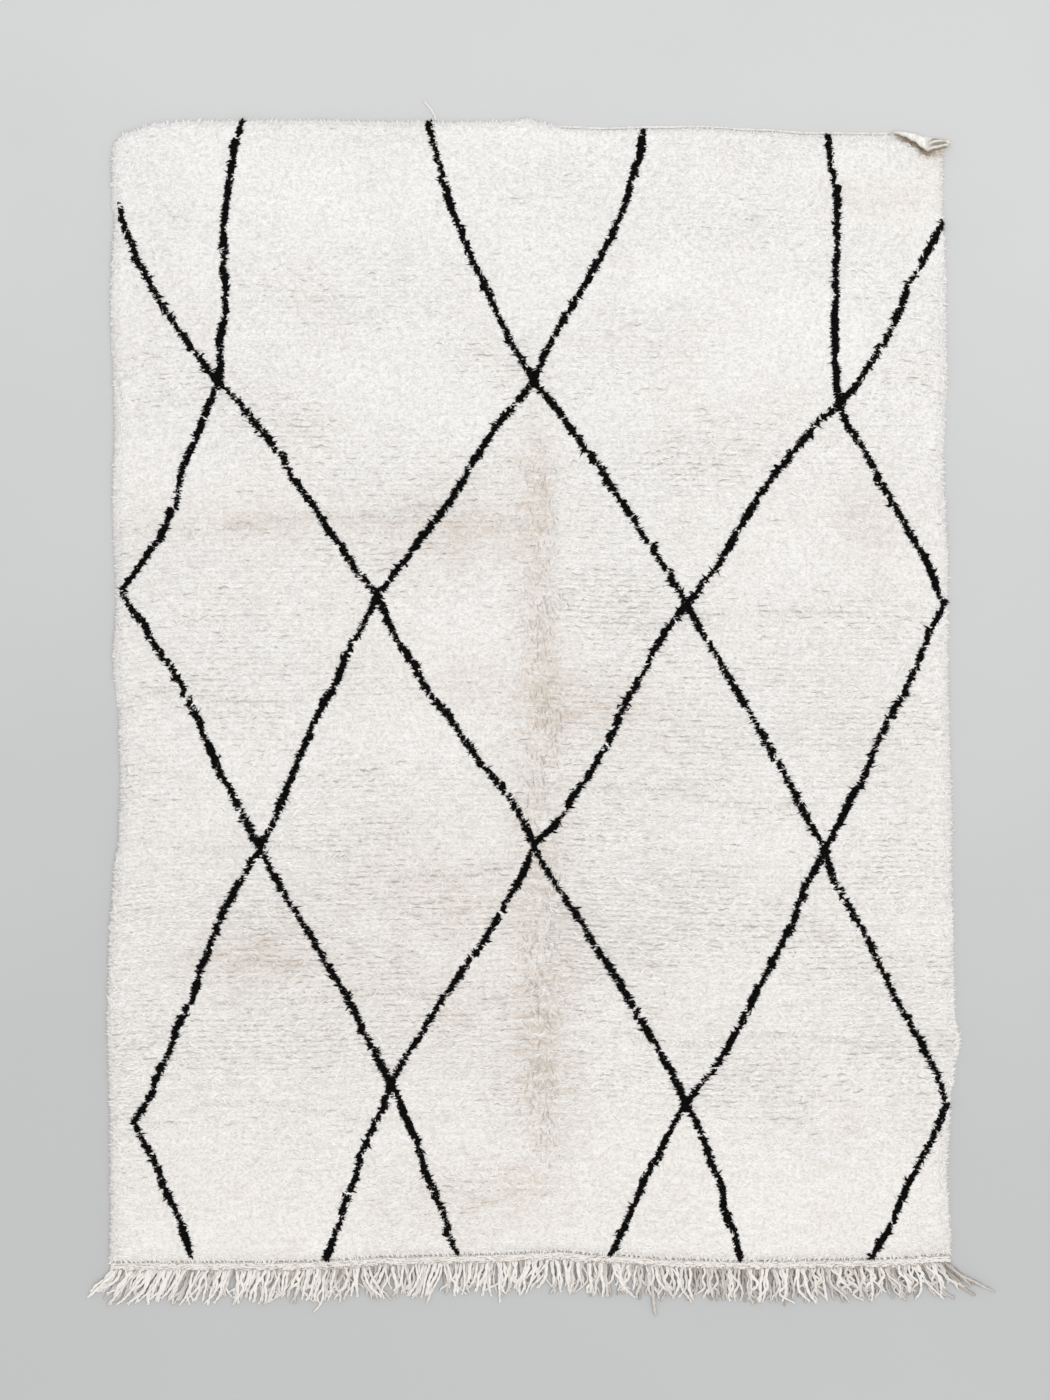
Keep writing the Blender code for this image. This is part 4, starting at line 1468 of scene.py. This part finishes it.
    def held_in(self, tip: Array, chance: Chance) -> Array:
        """Keep the tips from hanging far out of the cloth's outline."""
        loose = self.overhang * chance.uniform(*self.loose_tips, len(tip))
        x, y = tip[:, 0], tip[:, 1]
        x = np.clip(x, CLOTH.left(y) - loose, CLOTH.right(y) + loose)
        least_over, more_over = self.band_overhang
        over_band = np.where(x > CLOTH.band_start, least_over + more_over * loose, loose)
        (least, slow, quick), (slow_size, quick_size) = self.rim_waver, self.rim_waver_sizes
        along = np.zeros_like(x)
        waver = least + slow * soft_noise(x, along, slow_size, Layer.RIM_WAVER)
        waver += quick * soft_noise(x, along, quick_size, Layer.RIM_TUFTS)
        over_heading = self.heading_overhang * loose + self.overhang * waver
        y = np.clip(y, CLOTH.foot(x) - over_heading, CLOTH.pile_end(x) + over_band)
        return np.stack([x, y], axis=-1)

    def build(self) -> list[Thing]:
        """Build the pile, in bands from the foot to the top."""
        chance = np.random.default_rng(SEED)
        wisps = self.spread(chance)
        points = self.shape(wisps, chance)
        along = self.pattern.level / (self.levels - 1)
        pieces = []
        for number, part in enumerate(np.array_split(np.arange(len(points)), self.bands), 1):
            facts = {name: wisps[name][part] for name in ("tone", "warmth", "ink", "soil")}
            facts["along"] = np.broadcast_to(along, (len(part), len(along)))
            wool = PileWool().make(cell_count(len(part)))
            piece = joined_copies(f"pile_{number}", self.pattern, points[part], facts, self.shift, wool)
            piece.data.set_sharp_from_angle(angle=math.radians(self.sharp))
            pieces.append(piece)
        return pieces


@dataclass(frozen=True)
class Yarn:
    """A yarn of two plies that are twisted round each other, open and worn at its cut end.

    Attributes:
        pitch: the length of one turn of the twist.
        open_tip: how far the plies part at the cut end, as a share of their distance.
        ply_offset: how far a ply is from the yarn's middle, as a share of its thickness.
        ply_girth: half a ply's thickness, as a share of the yarn's.
        opens: the share of the length where the plies start to part, and over how much.
        tapers: the share of the length where they start to thin, and over how much.
        taper: how much of its girth a ply loses.
        clear: how far it stays off the floor.
    """

    pitch: float
    open_tip: float
    ply_offset: float = 0.18
    ply_girth: float = 0.38
    opens: Pair = (0.80, 0.20)
    tapers: Pair = (0.75, 0.25)
    taper: float = 0.40
    clear: float = 0.0002

    def shapes(self, pattern: Pattern, path: Array, thickness: float | Array, chance: Chance) -> Array:
        """Twist the plies along many paths.

        Args:
            pattern: the tube that each ply repeats.
            path: the middle of each strand's levels, as strands x levels x 3.
            thickness: one for all strands, or a column with one for each.
            chance: the strands' own random numbers.

        Returns:
            The points of all plies, as plies x points x 3.
        """
        steps = np.linalg.norm(np.diff(path, axis=1), axis=-1)
        run = np.concatenate([np.zeros((len(path), 1)), np.cumsum(steps, axis=1)], axis=1)
        share = run / run[:, -1:]
        tangent = unit(np.gradient(path, axis=1))
        side = unit(np.cross(tangent, np.array((0.0, 0.0, 1.0))))
        up = np.cross(side, tangent)
        start = chance.uniform(0.0, math.tau, (len(path), 1))
        opened, tapered = (np.clip((share - at) / over, 0.0, 1.0) for at, over in (self.opens, self.tapers))
        girth = self.ply_girth * thickness * (1.0 - self.taper * tapered)
        offset = self.ply_offset * thickness * (1.0 + self.open_tip * opened ** 2)
        shapes = []
        for ply in range(2):
            turn = start + math.pi * ply + math.tau * run / self.pitch
            across, above = (offset * np.cos(turn))[..., None], (offset * np.sin(turn))[..., None]
            middle = path + side * across + up * above
            middle[..., 2] = np.maximum(middle[..., 2], girth + self.clear)
            shapes.append(sweep(pattern, middle, side[:, 0], girth, girth))
        return np.concatenate(shapes)


@dataclass
class Fringe:
    """The flat-woven heading at the foot and the warp ends that hang out of it."""

    shift: Vector
    count: int = 520
    strip_width: float = 0.0160
    strip_thickness: float = 0.0042
    side_margin: float = 0.002
    root_jitter: float = 0.0012
    length: float = 0.049
    spread: float = 0.013
    corner_reach: float = 0.012
    corner_share: float = 0.80
    group_breaks: float = 0.40
    group_pull: Pair = (0.2, 0.95)
    group_lean: float = 0.20
    group_lean_fade: float = 1.2
    lean_stray: float = 0.15
    yarn: float = 0.0066
    yarn_share: Pair = (0.66, 1.06)
    plies: Yarn = Yarn(pitch=0.027, open_tip=0.8)
    sides: int = 5
    levels: int = 14
    curl: float = 0.0080
    curl_turns: Pair = (0.7, 1.6)
    crimp: float = 0.0016
    crimp_right: float = 0.0030
    crimp_right_from: float = 0.15
    crimp_right_over: float = 0.30
    crimp_turns: Pair = (0.9, 2.1)
    crimp_grows: float = 2.5
    pull_bend: float = 1.2
    lean_bend: float = 1.25
    layers: int = 3
    layer: float = 0.0046
    layer_span: float = 1.10
    root_overlap: float = 0.0016
    root_spread: float = 0.0050
    root_rise: float = 0.0004
    step_width: float = 0.004
    step_share: float = 0.6
    strand_tone: Pair = (-0.10, 0.28)
    lifted_light: float = 0.50
    rooted_shade: float = 0.45
    rooted_share: float = 0.30
    darker_right: float = 0.13
    cut_ring: float = 0.975
    grid: tuple[int, int] = (540, 12)
    front_waver: float = 0.0022
    front_waver_size: float = 0.011
    edge_share: float = 0.62
    crown_share: float = 0.30
    crown_rise: float = 6.0
    ridge: float = 0.0004
    ridge_rows: float = 4.0
    ridge_pitch: float = 0.0056
    lump: float = 0.0026
    lump_size: float = 0.008
    heading_soil: float = 0.05
    weft_count: int = 190
    weft_rows: int = 4
    weft_levels: int = 4
    weft_margin: float = 0.010
    weft_jitter: Pair = (0.0022, 0.0012)
    weft_step: float = 0.0034
    weft_slant: float = 0.10
    weft_stray: float = 0.13
    weft_length: float = 0.0190
    weft_length_share: Pair = (0.7, 1.2)
    weft_sunk: float = 0.0008
    weft_rise: float = 0.0012
    weft_width: float = 0.0040
    weft_girth: Pair = (0.5, 0.3)
    weft_tone: Pair = (0.34, 0.62)
    long_ends: tuple[Pair, ...] = ((-0.363, 0.078), (-0.173, 0.070), (0.220, 0.088), (-0.052, 0.072),
                                   (0.470, 0.066))

    def paths(self, chance: Chance) -> Array:
        """Middle lines of the strands, as strands x levels x 3."""
        half = CLOTH.width / 2 - self.side_margin
        root = np.linspace(-half, half, self.count) + chance.uniform(-1, 1, self.count) * self.root_jitter
        length = self.length + chance.uniform(-1, 1, self.count) * self.spread
        for place, long in self.long_ends:
            length[np.argmin(np.abs(root - place))] = long
        length[np.abs(root) > half - self.corner_reach] *= self.corner_share
        group = np.cumsum(chance.random(self.count) < self.group_breaks)
        middle = np.array([root[group == number].mean() for number in group])
        pull = (middle - root) * chance.uniform(*self.group_pull, self.count)
        lean = smooth_read(FRINGE_LEAN, root) + chance.normal(0.0, self.lean_stray, self.count)
        shared = chance.normal(0.0, self.group_lean, group.max() + 1)
        lean = lean + shared[group] * np.clip(self.group_lean_fade - np.abs(root) / half, 0.0, 1.0)
        share = np.append(np.linspace(0.0, self.cut_ring, self.levels - 1), 1.0)[None, :]
        wave = chance.normal(0.0, 1.0, self.count)[:, None] * self.curl
        turned = chance.uniform(*self.curl_turns, self.count)[:, None]
        bend = wave * np.sin(math.pi * share * turned) * share
        worn = eased((root - self.crimp_right_from) / self.crimp_right_over)
        crimp = (self.crimp + self.crimp_right * worn) * chance.normal(0.0, 1.0, self.count)
        phase = chance.uniform(0.0, math.tau, (self.count, 1))
        turns = chance.uniform(*self.crimp_turns, (self.count, 1))
        grown = eased(share * self.crimp_grows)
        bend += crimp[:, None] * np.sin(phase + math.tau * turns * share) * grown
        x = root[:, None] + pull[:, None] * share ** self.pull_bend
        x = x + (lean * length)[:, None] * share ** self.lean_bend + bend
        front = CLOTH.foot(root) - CLOTH.gap - self.strip_width
        overlap = self.root_overlap + self.root_spread * chance.random(self.count)
        y = (front + overlap)[:, None] - (length + overlap)[:, None] * share
        layer = chance.integers(0, self.layers, self.count)[:, None]
        lift = layer * self.layer * np.sin(math.pi * np.clip(share * self.layer_span, 0.0, 1.0))
        on_heading = np.clip((y - front[:, None]) / self.step_width + self.step_share, 0.0, 1.0)
        step = self.strip_thickness + self.root_rise - 0.5 * self.yarn
        return np.stack([x, y, 0.5 * self.yarn + lift + step * eased(on_heading)], axis=-1)

    def weft(self) -> Thing:
        """Build the weft's turns that lie slanting on the heading, in rows."""
        chance = np.random.default_rng(SEED + 4)
        place, row = np.meshgrid(np.linspace(-0.5, 0.5, self.weft_count), np.arange(self.weft_rows))
        place, row = place.ravel(), row.ravel()
        aside, along = self.weft_jitter
        x = place * (CLOTH.width - self.weft_margin) + chance.uniform(-1, 1, place.shape) * aside
        rear = CLOTH.foot(x) - CLOTH.gap - self.weft_step
        y = rear - self.weft_step * row + chance.uniform(-1, 1, place.shape) * along
        turn = np.where(row % 2, -1, 1) * self.weft_slant + chance.normal(0.0, self.weft_stray, place.shape)
        half = 0.5 * self.weft_length * chance.uniform(*self.weft_length_share, place.shape)
        way = headings(turn) * half[:, None]
        steps = np.linspace(-1.0, 1.0, self.weft_levels)[None, :]
        flat = np.stack([x, y], axis=-1)[:, None, :] + way[:, None, :] * steps[..., None]
        bulge = 1.0 - steps ** 2 + np.zeros((len(x), 1))
        high = self.strip_thickness - self.weft_sunk + self.weft_rise * bulge
        path = np.concatenate([flat, high[..., None]], axis=-1)
        girth = self.weft_width * np.sqrt(np.clip(bulge, 0.0, 1.0))
        wide, thick = self.weft_girth
        pattern = tube_pattern(self.sides, self.weft_levels)
        points = sweep(pattern, path, square_to(way), wide * girth, thick * girth)
        facts = {"tone": chance.uniform(*self.weft_tone, len(x))}
        wool = WarpYarn(name="hand_spun_wool_weft").make()
        return joined_copies("heading_weft", pattern, points, facts, self.shift, wool)

    def strands(self) -> Thing:
        """Build the warp ends."""
        chance = np.random.default_rng(SEED + 1)
        pattern = tube_pattern(self.sides, self.levels)
        path = self.paths(chance)
        yarn = self.yarn * chance.uniform(*self.yarn_share, (self.count, 1))
        points = self.plies.shapes(pattern, path, yarn, chance)
        # Painted light and shade: strands that lie higher are lighter, and low ones darker near their
        # roots; the tone also falls towards the right.
        lifted = (path[:, self.levels // 2, 2] / path[..., 2].max())[:, None]
        rooted = np.exp(-(pattern.level / (self.rooted_share * self.levels)) ** 2)[None, :]
        tone = chance.uniform(*self.strand_tone, (self.count, 1)) + self.lifted_light * lifted
        tone = tone - self.rooted_shade * rooted * (1.0 - lifted)
        tone -= self.darker_right * path[:, :1, 0] / (0.5 * CLOTH.width)
        facts = {"tone": np.tile(tone, (2, 1))}
        return joined_copies("warp_fringe", pattern, points, facts, self.shift, WarpYarn().make())

    def heading(self) -> Thing:
        """Build the flat-woven heading, with its weft ridges and uneven front."""
        bm, share = unit_grid(*self.grid)
        x = (share[:, 0] - 0.5) * CLOTH.width
        depth = 1.0 - share[:, 1]
        y = CLOTH.foot(x) - CLOTH.gap - self.strip_width * depth
        waver = soft_noise(x, np.zeros_like(x), self.front_waver_size, Layer.HEADING_FRONT)
        y += self.front_waver * waver * np.clip(2 * depth - 1, 0, 1)
        edge = np.clip(np.minimum(depth, 1.0 - depth) * self.crown_rise, 0.0, 1.0)
        crown = self.strip_thickness * (self.edge_share + self.crown_share * np.sqrt(edge))
        across = np.cos(math.tau * x / self.ridge_pitch)
        ridge = self.ridge * np.cos(math.tau * depth * self.ridge_rows) * across
        z = crown + ridge + self.lump * soft_noise(x, y, self.lump_size, Layer.HEADING_LUMP)
        lay(bm, x, y, z, {"soil": np.full(x.shape, self.heading_soil)})
        weave = FlatWeave(white="ECE7E1", groove="CFC7BD").make()
        return finished("woven_heading", bm, self.shift, weave)


@dataclass
class LooseEnd:
    """The one warp end that has worked loose at the top."""

    shift: Vector
    x: float = -0.168
    width: float = 0.0036
    plies: Yarn = Yarn(pitch=0.012, open_tip=0.5)
    tone: float = 0.6
    bends: tuple[Pair, ...] = ((0.0, 0.0), (-0.003, 0.010), (-0.008, 0.019), (-0.015, 0.028),
                               (-0.024, 0.037))
    sides: int = 6
    levels: int = 22

    def build(self) -> Thing:
        """Build the loose end, level on the floor."""
        chance = np.random.default_rng(SEED + 2)
        root_y = float(CLOTH.top(np.array(self.x))) + CLOTH.gap
        bends = np.array(self.bends)
        share, places = np.linspace(0.0, 1.0, self.levels), np.linspace(0.0, 1.0, len(bends))
        x = self.x + np.interp(share, places, bends[:, 0])
        y = root_y + np.interp(share, places, bends[:, 1])
        path = np.stack([x, y, np.full(self.levels, self.width / 2)], axis=-1)[None]
        pattern = tube_pattern(self.sides, self.levels)
        points = self.plies.shapes(pattern, path, self.width, chance)
        facts = {"tone": np.full(len(points), self.tone)}
        return joined_copies("loose_warp_end", pattern, points, facts, self.shift, WarpYarn().make())


@dataclass
class TopBand:
    """The flat-woven end at the top: a plain strip, then the corner turned up over the pile."""

    shift: Vector
    thickness: float = 0.0040
    corner: float = 0.0008
    sheet: float = 0.0030
    low_share: float = 0.6
    clearance: float = 0.0020
    rise: float = 0.012
    shoulder: float = 0.35
    cuts: int = 22
    plain_step: float = 0.0030
    ear_step: float = 0.0016
    lump: float = 0.0009
    lump_size: float = 0.0075
    edge_waver: float = 0.0009
    edge_waver_size: float = 0.016
    edge_waver_row: float = 0.3
    inner_share: float = 0.9
    sharp: float = 60.0
    frayed_count: int = 9
    frayed_yarn: float = 0.0021
    frayed_plies: Yarn = Yarn(pitch=0.010, open_tip=1.2)
    frayed_inside: Pair = (0.002, 0.006)
    frayed_margins: Pair = (0.001, 0.002)
    frayed_reach: Pair = (0.003, 0.009)
    frayed_turn: Pair = (0.25, 0.30)
    frayed_fall: float = 0.004
    frayed_fall_share: Pair = (0.3, 1.0)
    frayed_tone: Pair = (0.1, 0.6)
    frayed_sides: int = 5
    frayed_levels: int = 7
    pleat_start: float = 0.704
    pleat_height: float = 0.0034
    pleat_width: float = 0.0034
    pleat_grows: float = 2.2
    pleat_places: tuple[Pair, ...] = ((0.62, 0.12), (0.86, 0.72))
    soil_plain: float = 0.10
    soil_ear: float = 0.04
    soil_fold: float = 0.45
    soil_fold_width: float = 0.0030
    soil_groove: float = 0.90
    soil_grows: float = 0.014
    soil_above: float = 0.22

    def stations(self) -> Array:
        """Places across the rug at which the band has a section."""
        plain = np.arange(CLOTH.band_start, CLOTH.ear_start, self.plain_step)
        ear = np.arange(CLOTH.ear_start, CLOTH.ear_end, self.ear_step)
        return np.concatenate([plain, ear, [CLOTH.ear_end]])

    def edges(self, x: float) -> Pair:
        """Y of the outer edge and of the fold's lower edge at a place across the rug."""
        return float(CLOTH.top(np.array(x))), float(CLOTH.fold(np.array(x)))

    def pleat_run(self, x: float) -> float:
        """How far along the pleats a place across the rug is, from 0 to 1 at the corner's end."""
        return (x - self.pleat_start) / (CLOTH.ear_end - self.pleat_start)

    def pleat(self, x: float, share: float) -> float:
        """How near a place is to one of the two cord-like pleats at the corner's right end.

        Args:
            x: a place across the rug.
            share: a place from the outer edge, 0, to the fold's lower edge, 1.

        Returns:
            1 on a pleat's crown and 0 in the grooves beside it, fading out to the left.
        """
        run = self.pleat_run(x)
        if run <= 0.0:
            return 0.0
        outer, fold = self.edges(x)
        crown = 0.0
        for first, last in self.pleat_places:
            away = abs(share - (first + (last - first) * run)) * (outer - fold) / self.pleat_width
            crown = max(crown, 0.5 + 0.5 * math.cos(math.pi * min(away, 1.0)))
        return crown * float(eased(np.array(run * self.pleat_grows)))

    def section(self, x: float) -> list[Pair]:
        """Section of the band at a place across the rug, as (y, z) points run round."""
        outer, lower = self.edges(x)
        inner = outer - CLOTH.band_width
        waver = noise.noise(Vector((x / self.edge_waver_size, self.edge_waver_row, 0.0)))
        outer += self.edge_waver * waver
        turned = float(eased(np.array((x - CLOTH.ear_start) / self.rise)))
        fold = inner + self.corner
        if x > CLOTH.ear_start:
            fold = min(fold, lower)
        low, bed = self.low_share * self.thickness, CLOTH.ear_rest + self.clearance
        under = low + (bed - low) * turned
        crown = self.thickness + (bed + self.sheet - self.thickness) * turned
        points = [(inner, 0.0), (outer, 0.0)]
        for number in range(self.cuts + 1):
            share = number / self.cuts
            height = low + (crown - low) * math.sin(0.5 * math.pi * min(share / self.shoulder, 1.0))
            y = outer + (fold - outer) * share
            height += self.pleat_height * self.pleat(x, share)
            height += self.lump * noise.noise(Vector((x, y, 0.0)) / self.lump_size)
            points.append((y, height))
        return points + [(fold - 0.5 * self.corner, under), (inner, self.inner_share * under)]

    def build(self) -> Thing:
        """Build the band as a wrapped grid: its sections side by side, closed at both ends."""
        places = self.stations()
        sections = [self.section(float(x)) for x in places]
        around = len(sections[0])
        bm, _ = unit_grid(len(places) - 1, around)
        soil = bm.verts.layers.float.new("soil")
        for vert in bm.verts:
            station = round((vert.co.x + 0.5) * (len(places) - 1))
            point = round((vert.co.y + 0.5) * around) % around
            x = float(places[station])
            vert.co = (x, *sections[station][point])
            vert[soil] = self.soil(x, sections[station][point][0])
        bmesh.ops.remove_doubles(bm, verts=bm.verts, dist=1e-6)
        fill_holes(bm)
        return finished("woven_end_band", bm, self.shift, FlatWeave().make(), sharp=self.sharp)

    def frayed(self) -> Thing:
        """Build the short yarn ends that stick out of the turned-up corner's open end."""
        chance = np.random.default_rng(SEED + 5)
        count = self.frayed_count
        x = CLOTH.ear_end - chance.uniform(*self.frayed_inside, count)
        top, fold = self.edges(CLOTH.ear_end)
        low, high = fold + self.frayed_margins[0], top - self.frayed_margins[1]
        y = low + (high - low) * (np.arange(count) + 0.5) / count
        share = np.linspace(0.0, 1.0, self.frayed_levels)[None, :]
        reach = chance.uniform(*self.frayed_reach, count) + CLOTH.ear_end - x
        turn = chance.normal(*self.frayed_turn, count)
        level = CLOTH.ear_rest + self.clearance + 0.5 * self.sheet
        fall = self.frayed_fall * chance.uniform(*self.frayed_fall_share, (count, 1))
        path = np.stack([x[:, None] + (reach * np.cos(turn))[:, None] * share,
                         y[:, None] + (reach * np.sin(turn))[:, None] * share ** 2,
                         level - fall * share ** 2], axis=-1)
        pattern = tube_pattern(self.frayed_sides, self.frayed_levels)
        points = self.frayed_plies.shapes(pattern, path, self.frayed_yarn, chance)
        facts = {"tone": np.tile(chance.uniform(*self.frayed_tone, count), 2)}
        wool = WarpYarn(name="frayed_wool_ends").make()
        return joined_copies("corner_yarn_ends", pattern, points, facts, self.shift, wool)

    def soil(self, x: float, y: float) -> float:
        """How soiled and shaded the weave is: an even soil, with painted shade at the fold's lower edge and
        in the pleats' grooves.
        """
        if x < CLOTH.ear_start:
            return self.soil_plain
        outer, fold = self.edges(x)
        grown = min(max((x - self.pleat_start) / self.soil_grows, 0.0), 1.0)
        share = (outer - y) / max(outer - fold, 1e-6)
        first, last = self.pleat_places[0]
        above = share < first + (last - first) * self.pleat_run(x) - self.soil_above
        groove = 0.0 if above else grown * (1.0 - self.pleat(x, share)) ** 2
        edge = self.soil_fold * math.exp(-((y - fold) / self.soil_fold_width) ** 2)
        return min(self.soil_ear + edge + self.soil_groove * groove, 1.0)


@dataclass
class StrayHairs:
    """Single black fibres that have worked out of the dyed knots onto the cream ones."""

    shift: Vector
    lattice: Lattice
    count: int = 620
    thickness: float = 0.0007
    length: Pair = (0.006, 0.016)
    bend: float = 1.1
    taper: float = 0.5
    clear_of_rim: float = 0.010
    clear_of_ends: float = 0.97
    sides: int = 3
    levels: int = 5

    def starts(self, chance: Chance) -> tuple[Array, Array]:
        """Places on the black lines where the hairs start.

        Args:
            chance: the hairs' own random numbers.

        Returns:
            x and y of each hair's start.
        """
        number = chance.integers(0, len(RUNS), self.count)
        y = chance.uniform(-self.clear_of_ends, self.clear_of_ends, self.count) * CLOTH.length / 2
        x = np.array([float(self.lattice.line(int(run), np.array([place]))[0])
                      for run, place in zip(number, y)])
        kept = np.abs(x) < CLOTH.width / 2 - self.clear_of_rim
        return x[kept], y[kept]

    def build(self) -> Thing:
        """Build all stray hairs as one piece."""
        chance = np.random.default_rng(SEED + 3)
        start_x, start_y = self.starts(chance)
        count = len(start_x)
        turn = chance.uniform(0.0, math.tau, count)
        length = chance.uniform(*self.length, count)
        share = np.linspace(0.0, 1.0, self.levels)[None, :]
        heading = turn[:, None] + chance.normal(0.0, self.bend, count)[:, None] * share
        step = length[:, None] / (self.levels - 1)
        x = start_x[:, None] + np.cumsum(np.cos(heading) * step, axis=1)
        y = start_y[:, None] + np.cumsum(np.sin(heading) * step, axis=1)
        path = np.stack([x, y, CLOTH.pile_top(x, y) + self.thickness], axis=-1)
        girth = 0.5 * self.thickness * (1.0 - self.taper * share) + np.zeros((count, 1))
        pattern = tube_pattern(self.sides, self.levels)
        points = sweep(pattern, path, square_to(headings(turn)), girth, girth)
        facts = {"ink": np.ones(count), "along": np.ones((count, len(pattern.level)))}
        fibre = PileWool(name="stray_black_fibre").make(cell_count(count))
        return joined_copies("stray_hairs", pattern, points, facts, self.shift, fibre)


@dataclass
class Studio:
    """The plain floor, the soft lights and the camera straight above the rug.

    The view transform is the plain one, so that a colour comes out as it is lit.
    """

    shift: Vector
    floor_size: float = 8.0
    floor_steps: int = 8
    sky: float = 0.71
    key_power: float = 250.0
    key_size: float = 5.4
    key_place: tuple[float, float, float] = (0.9, 0.0, 6.8)
    sensor: float = 24.0
    farthest: float = 50.0

    def floor(self) -> Thing:
        """Build the floor, which isn't part of the rug."""
        bm = bmesh.new()
        bmesh.ops.create_grid(bm, x_segments=self.floor_steps, y_segments=self.floor_steps,
                              size=self.floor_size / 2)
        mesh = bpy.data.meshes.new("floor")
        bm.to_mesh(mesh)
        bm.free()
        piece = linked("floor", mesh)
        mesh.materials.append(PaleFloor().make())
        return piece

    def light(self) -> None:
        """Light the rug: an even pale sky and one broad light from the upper right."""
        bpy.context.scene.view_settings.view_transform = "Standard"
        world = bpy.data.worlds.new("soft_sky")
        bpy.context.scene.world = world
        world.use_nodes = True
        background = world.node_tree.nodes["Background"]
        background.inputs["Color"].default_value = grey(1.0)
        background.inputs["Strength"].default_value = self.sky
        lamp = bpy.data.lights.new("broad_key", "AREA")
        lamp.shape = "SQUARE"
        lamp.size = self.key_size
        lamp.energy = self.key_power
        light = linked("broad_key", lamp)
        light.location = self.key_place
        light.rotation_euler = (-Vector(self.key_place)).to_track_quat("-Z", "Y").to_euler()

    def camera(self) -> None:
        """Place the camera at the photograph's view: straight down, the rug's top at the top."""
        lens = bpy.data.cameras.new("above")
        lens.sensor_fit = "VERTICAL"
        lens.sensor_height = self.sensor
        seen = IMAGE_HEIGHT * METRES_PER_PIXEL
        lens.lens = self.sensor * (CAMERA_DISTANCE - VIEW_PLANE) / seen
        lens.clip_end = self.farthest
        camera = linked("above", lens)
        camera.location = (VIEW_CENTRE[0] + self.shift.x, VIEW_CENTRE[1] + self.shift.y, CAMERA_DISTANCE)
        bpy.context.scene.camera = camera


def join_frame(piece: Thing, slot: Slot, *nodes: str) -> None:
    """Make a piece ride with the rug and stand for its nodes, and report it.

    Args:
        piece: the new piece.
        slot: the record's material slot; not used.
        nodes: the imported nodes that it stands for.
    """
    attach(piece, "root")
    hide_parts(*nodes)
    triangles = sum(face.loop_total - 2 for face in piece.data.polygons)
    LOG.info("%s: %d triangles, stands for %s", piece.name, triangles, ", ".join(nodes))


def main() -> None:
    """Build the dressed rug and its studio."""
    logging.basicConfig(level=logging.INFO, format="%(name)s: %(message)s")
    shift = frame_shift()
    lattice = Lattice()
    ground = GroundWeave(shift, lattice).build()
    pile = Pile(shift, lattice).build()
    hairs = StrayHairs(shift, lattice).build()
    fringe, top_band = Fringe(shift), TopBand(shift)
    heading, weft, strands = fringe.heading(), fringe.weft(), fringe.strands()
    band, frayed = top_band.build(), top_band.frayed()
    loose = LooseEnd(shift).build()
    rows = (
        (Slot.PILE, "rug", ground, *pile, hairs),
        (Slot.WOVEN_END, "fringe", heading, weft),
        (Slot.WARP, "fringe", strands),
        (Slot.WOVEN_END, "top_band", band, frayed),
        (Slot.WARP, "loose_end", loose),
    )
    for slot, node, *pieces in rows:
        for piece in pieces:
            join_frame(piece, slot, node)
    studio = Studio(shift)
    studio.floor()
    studio.light()
    studio.camera()


if __name__ == "__main__":
    main()
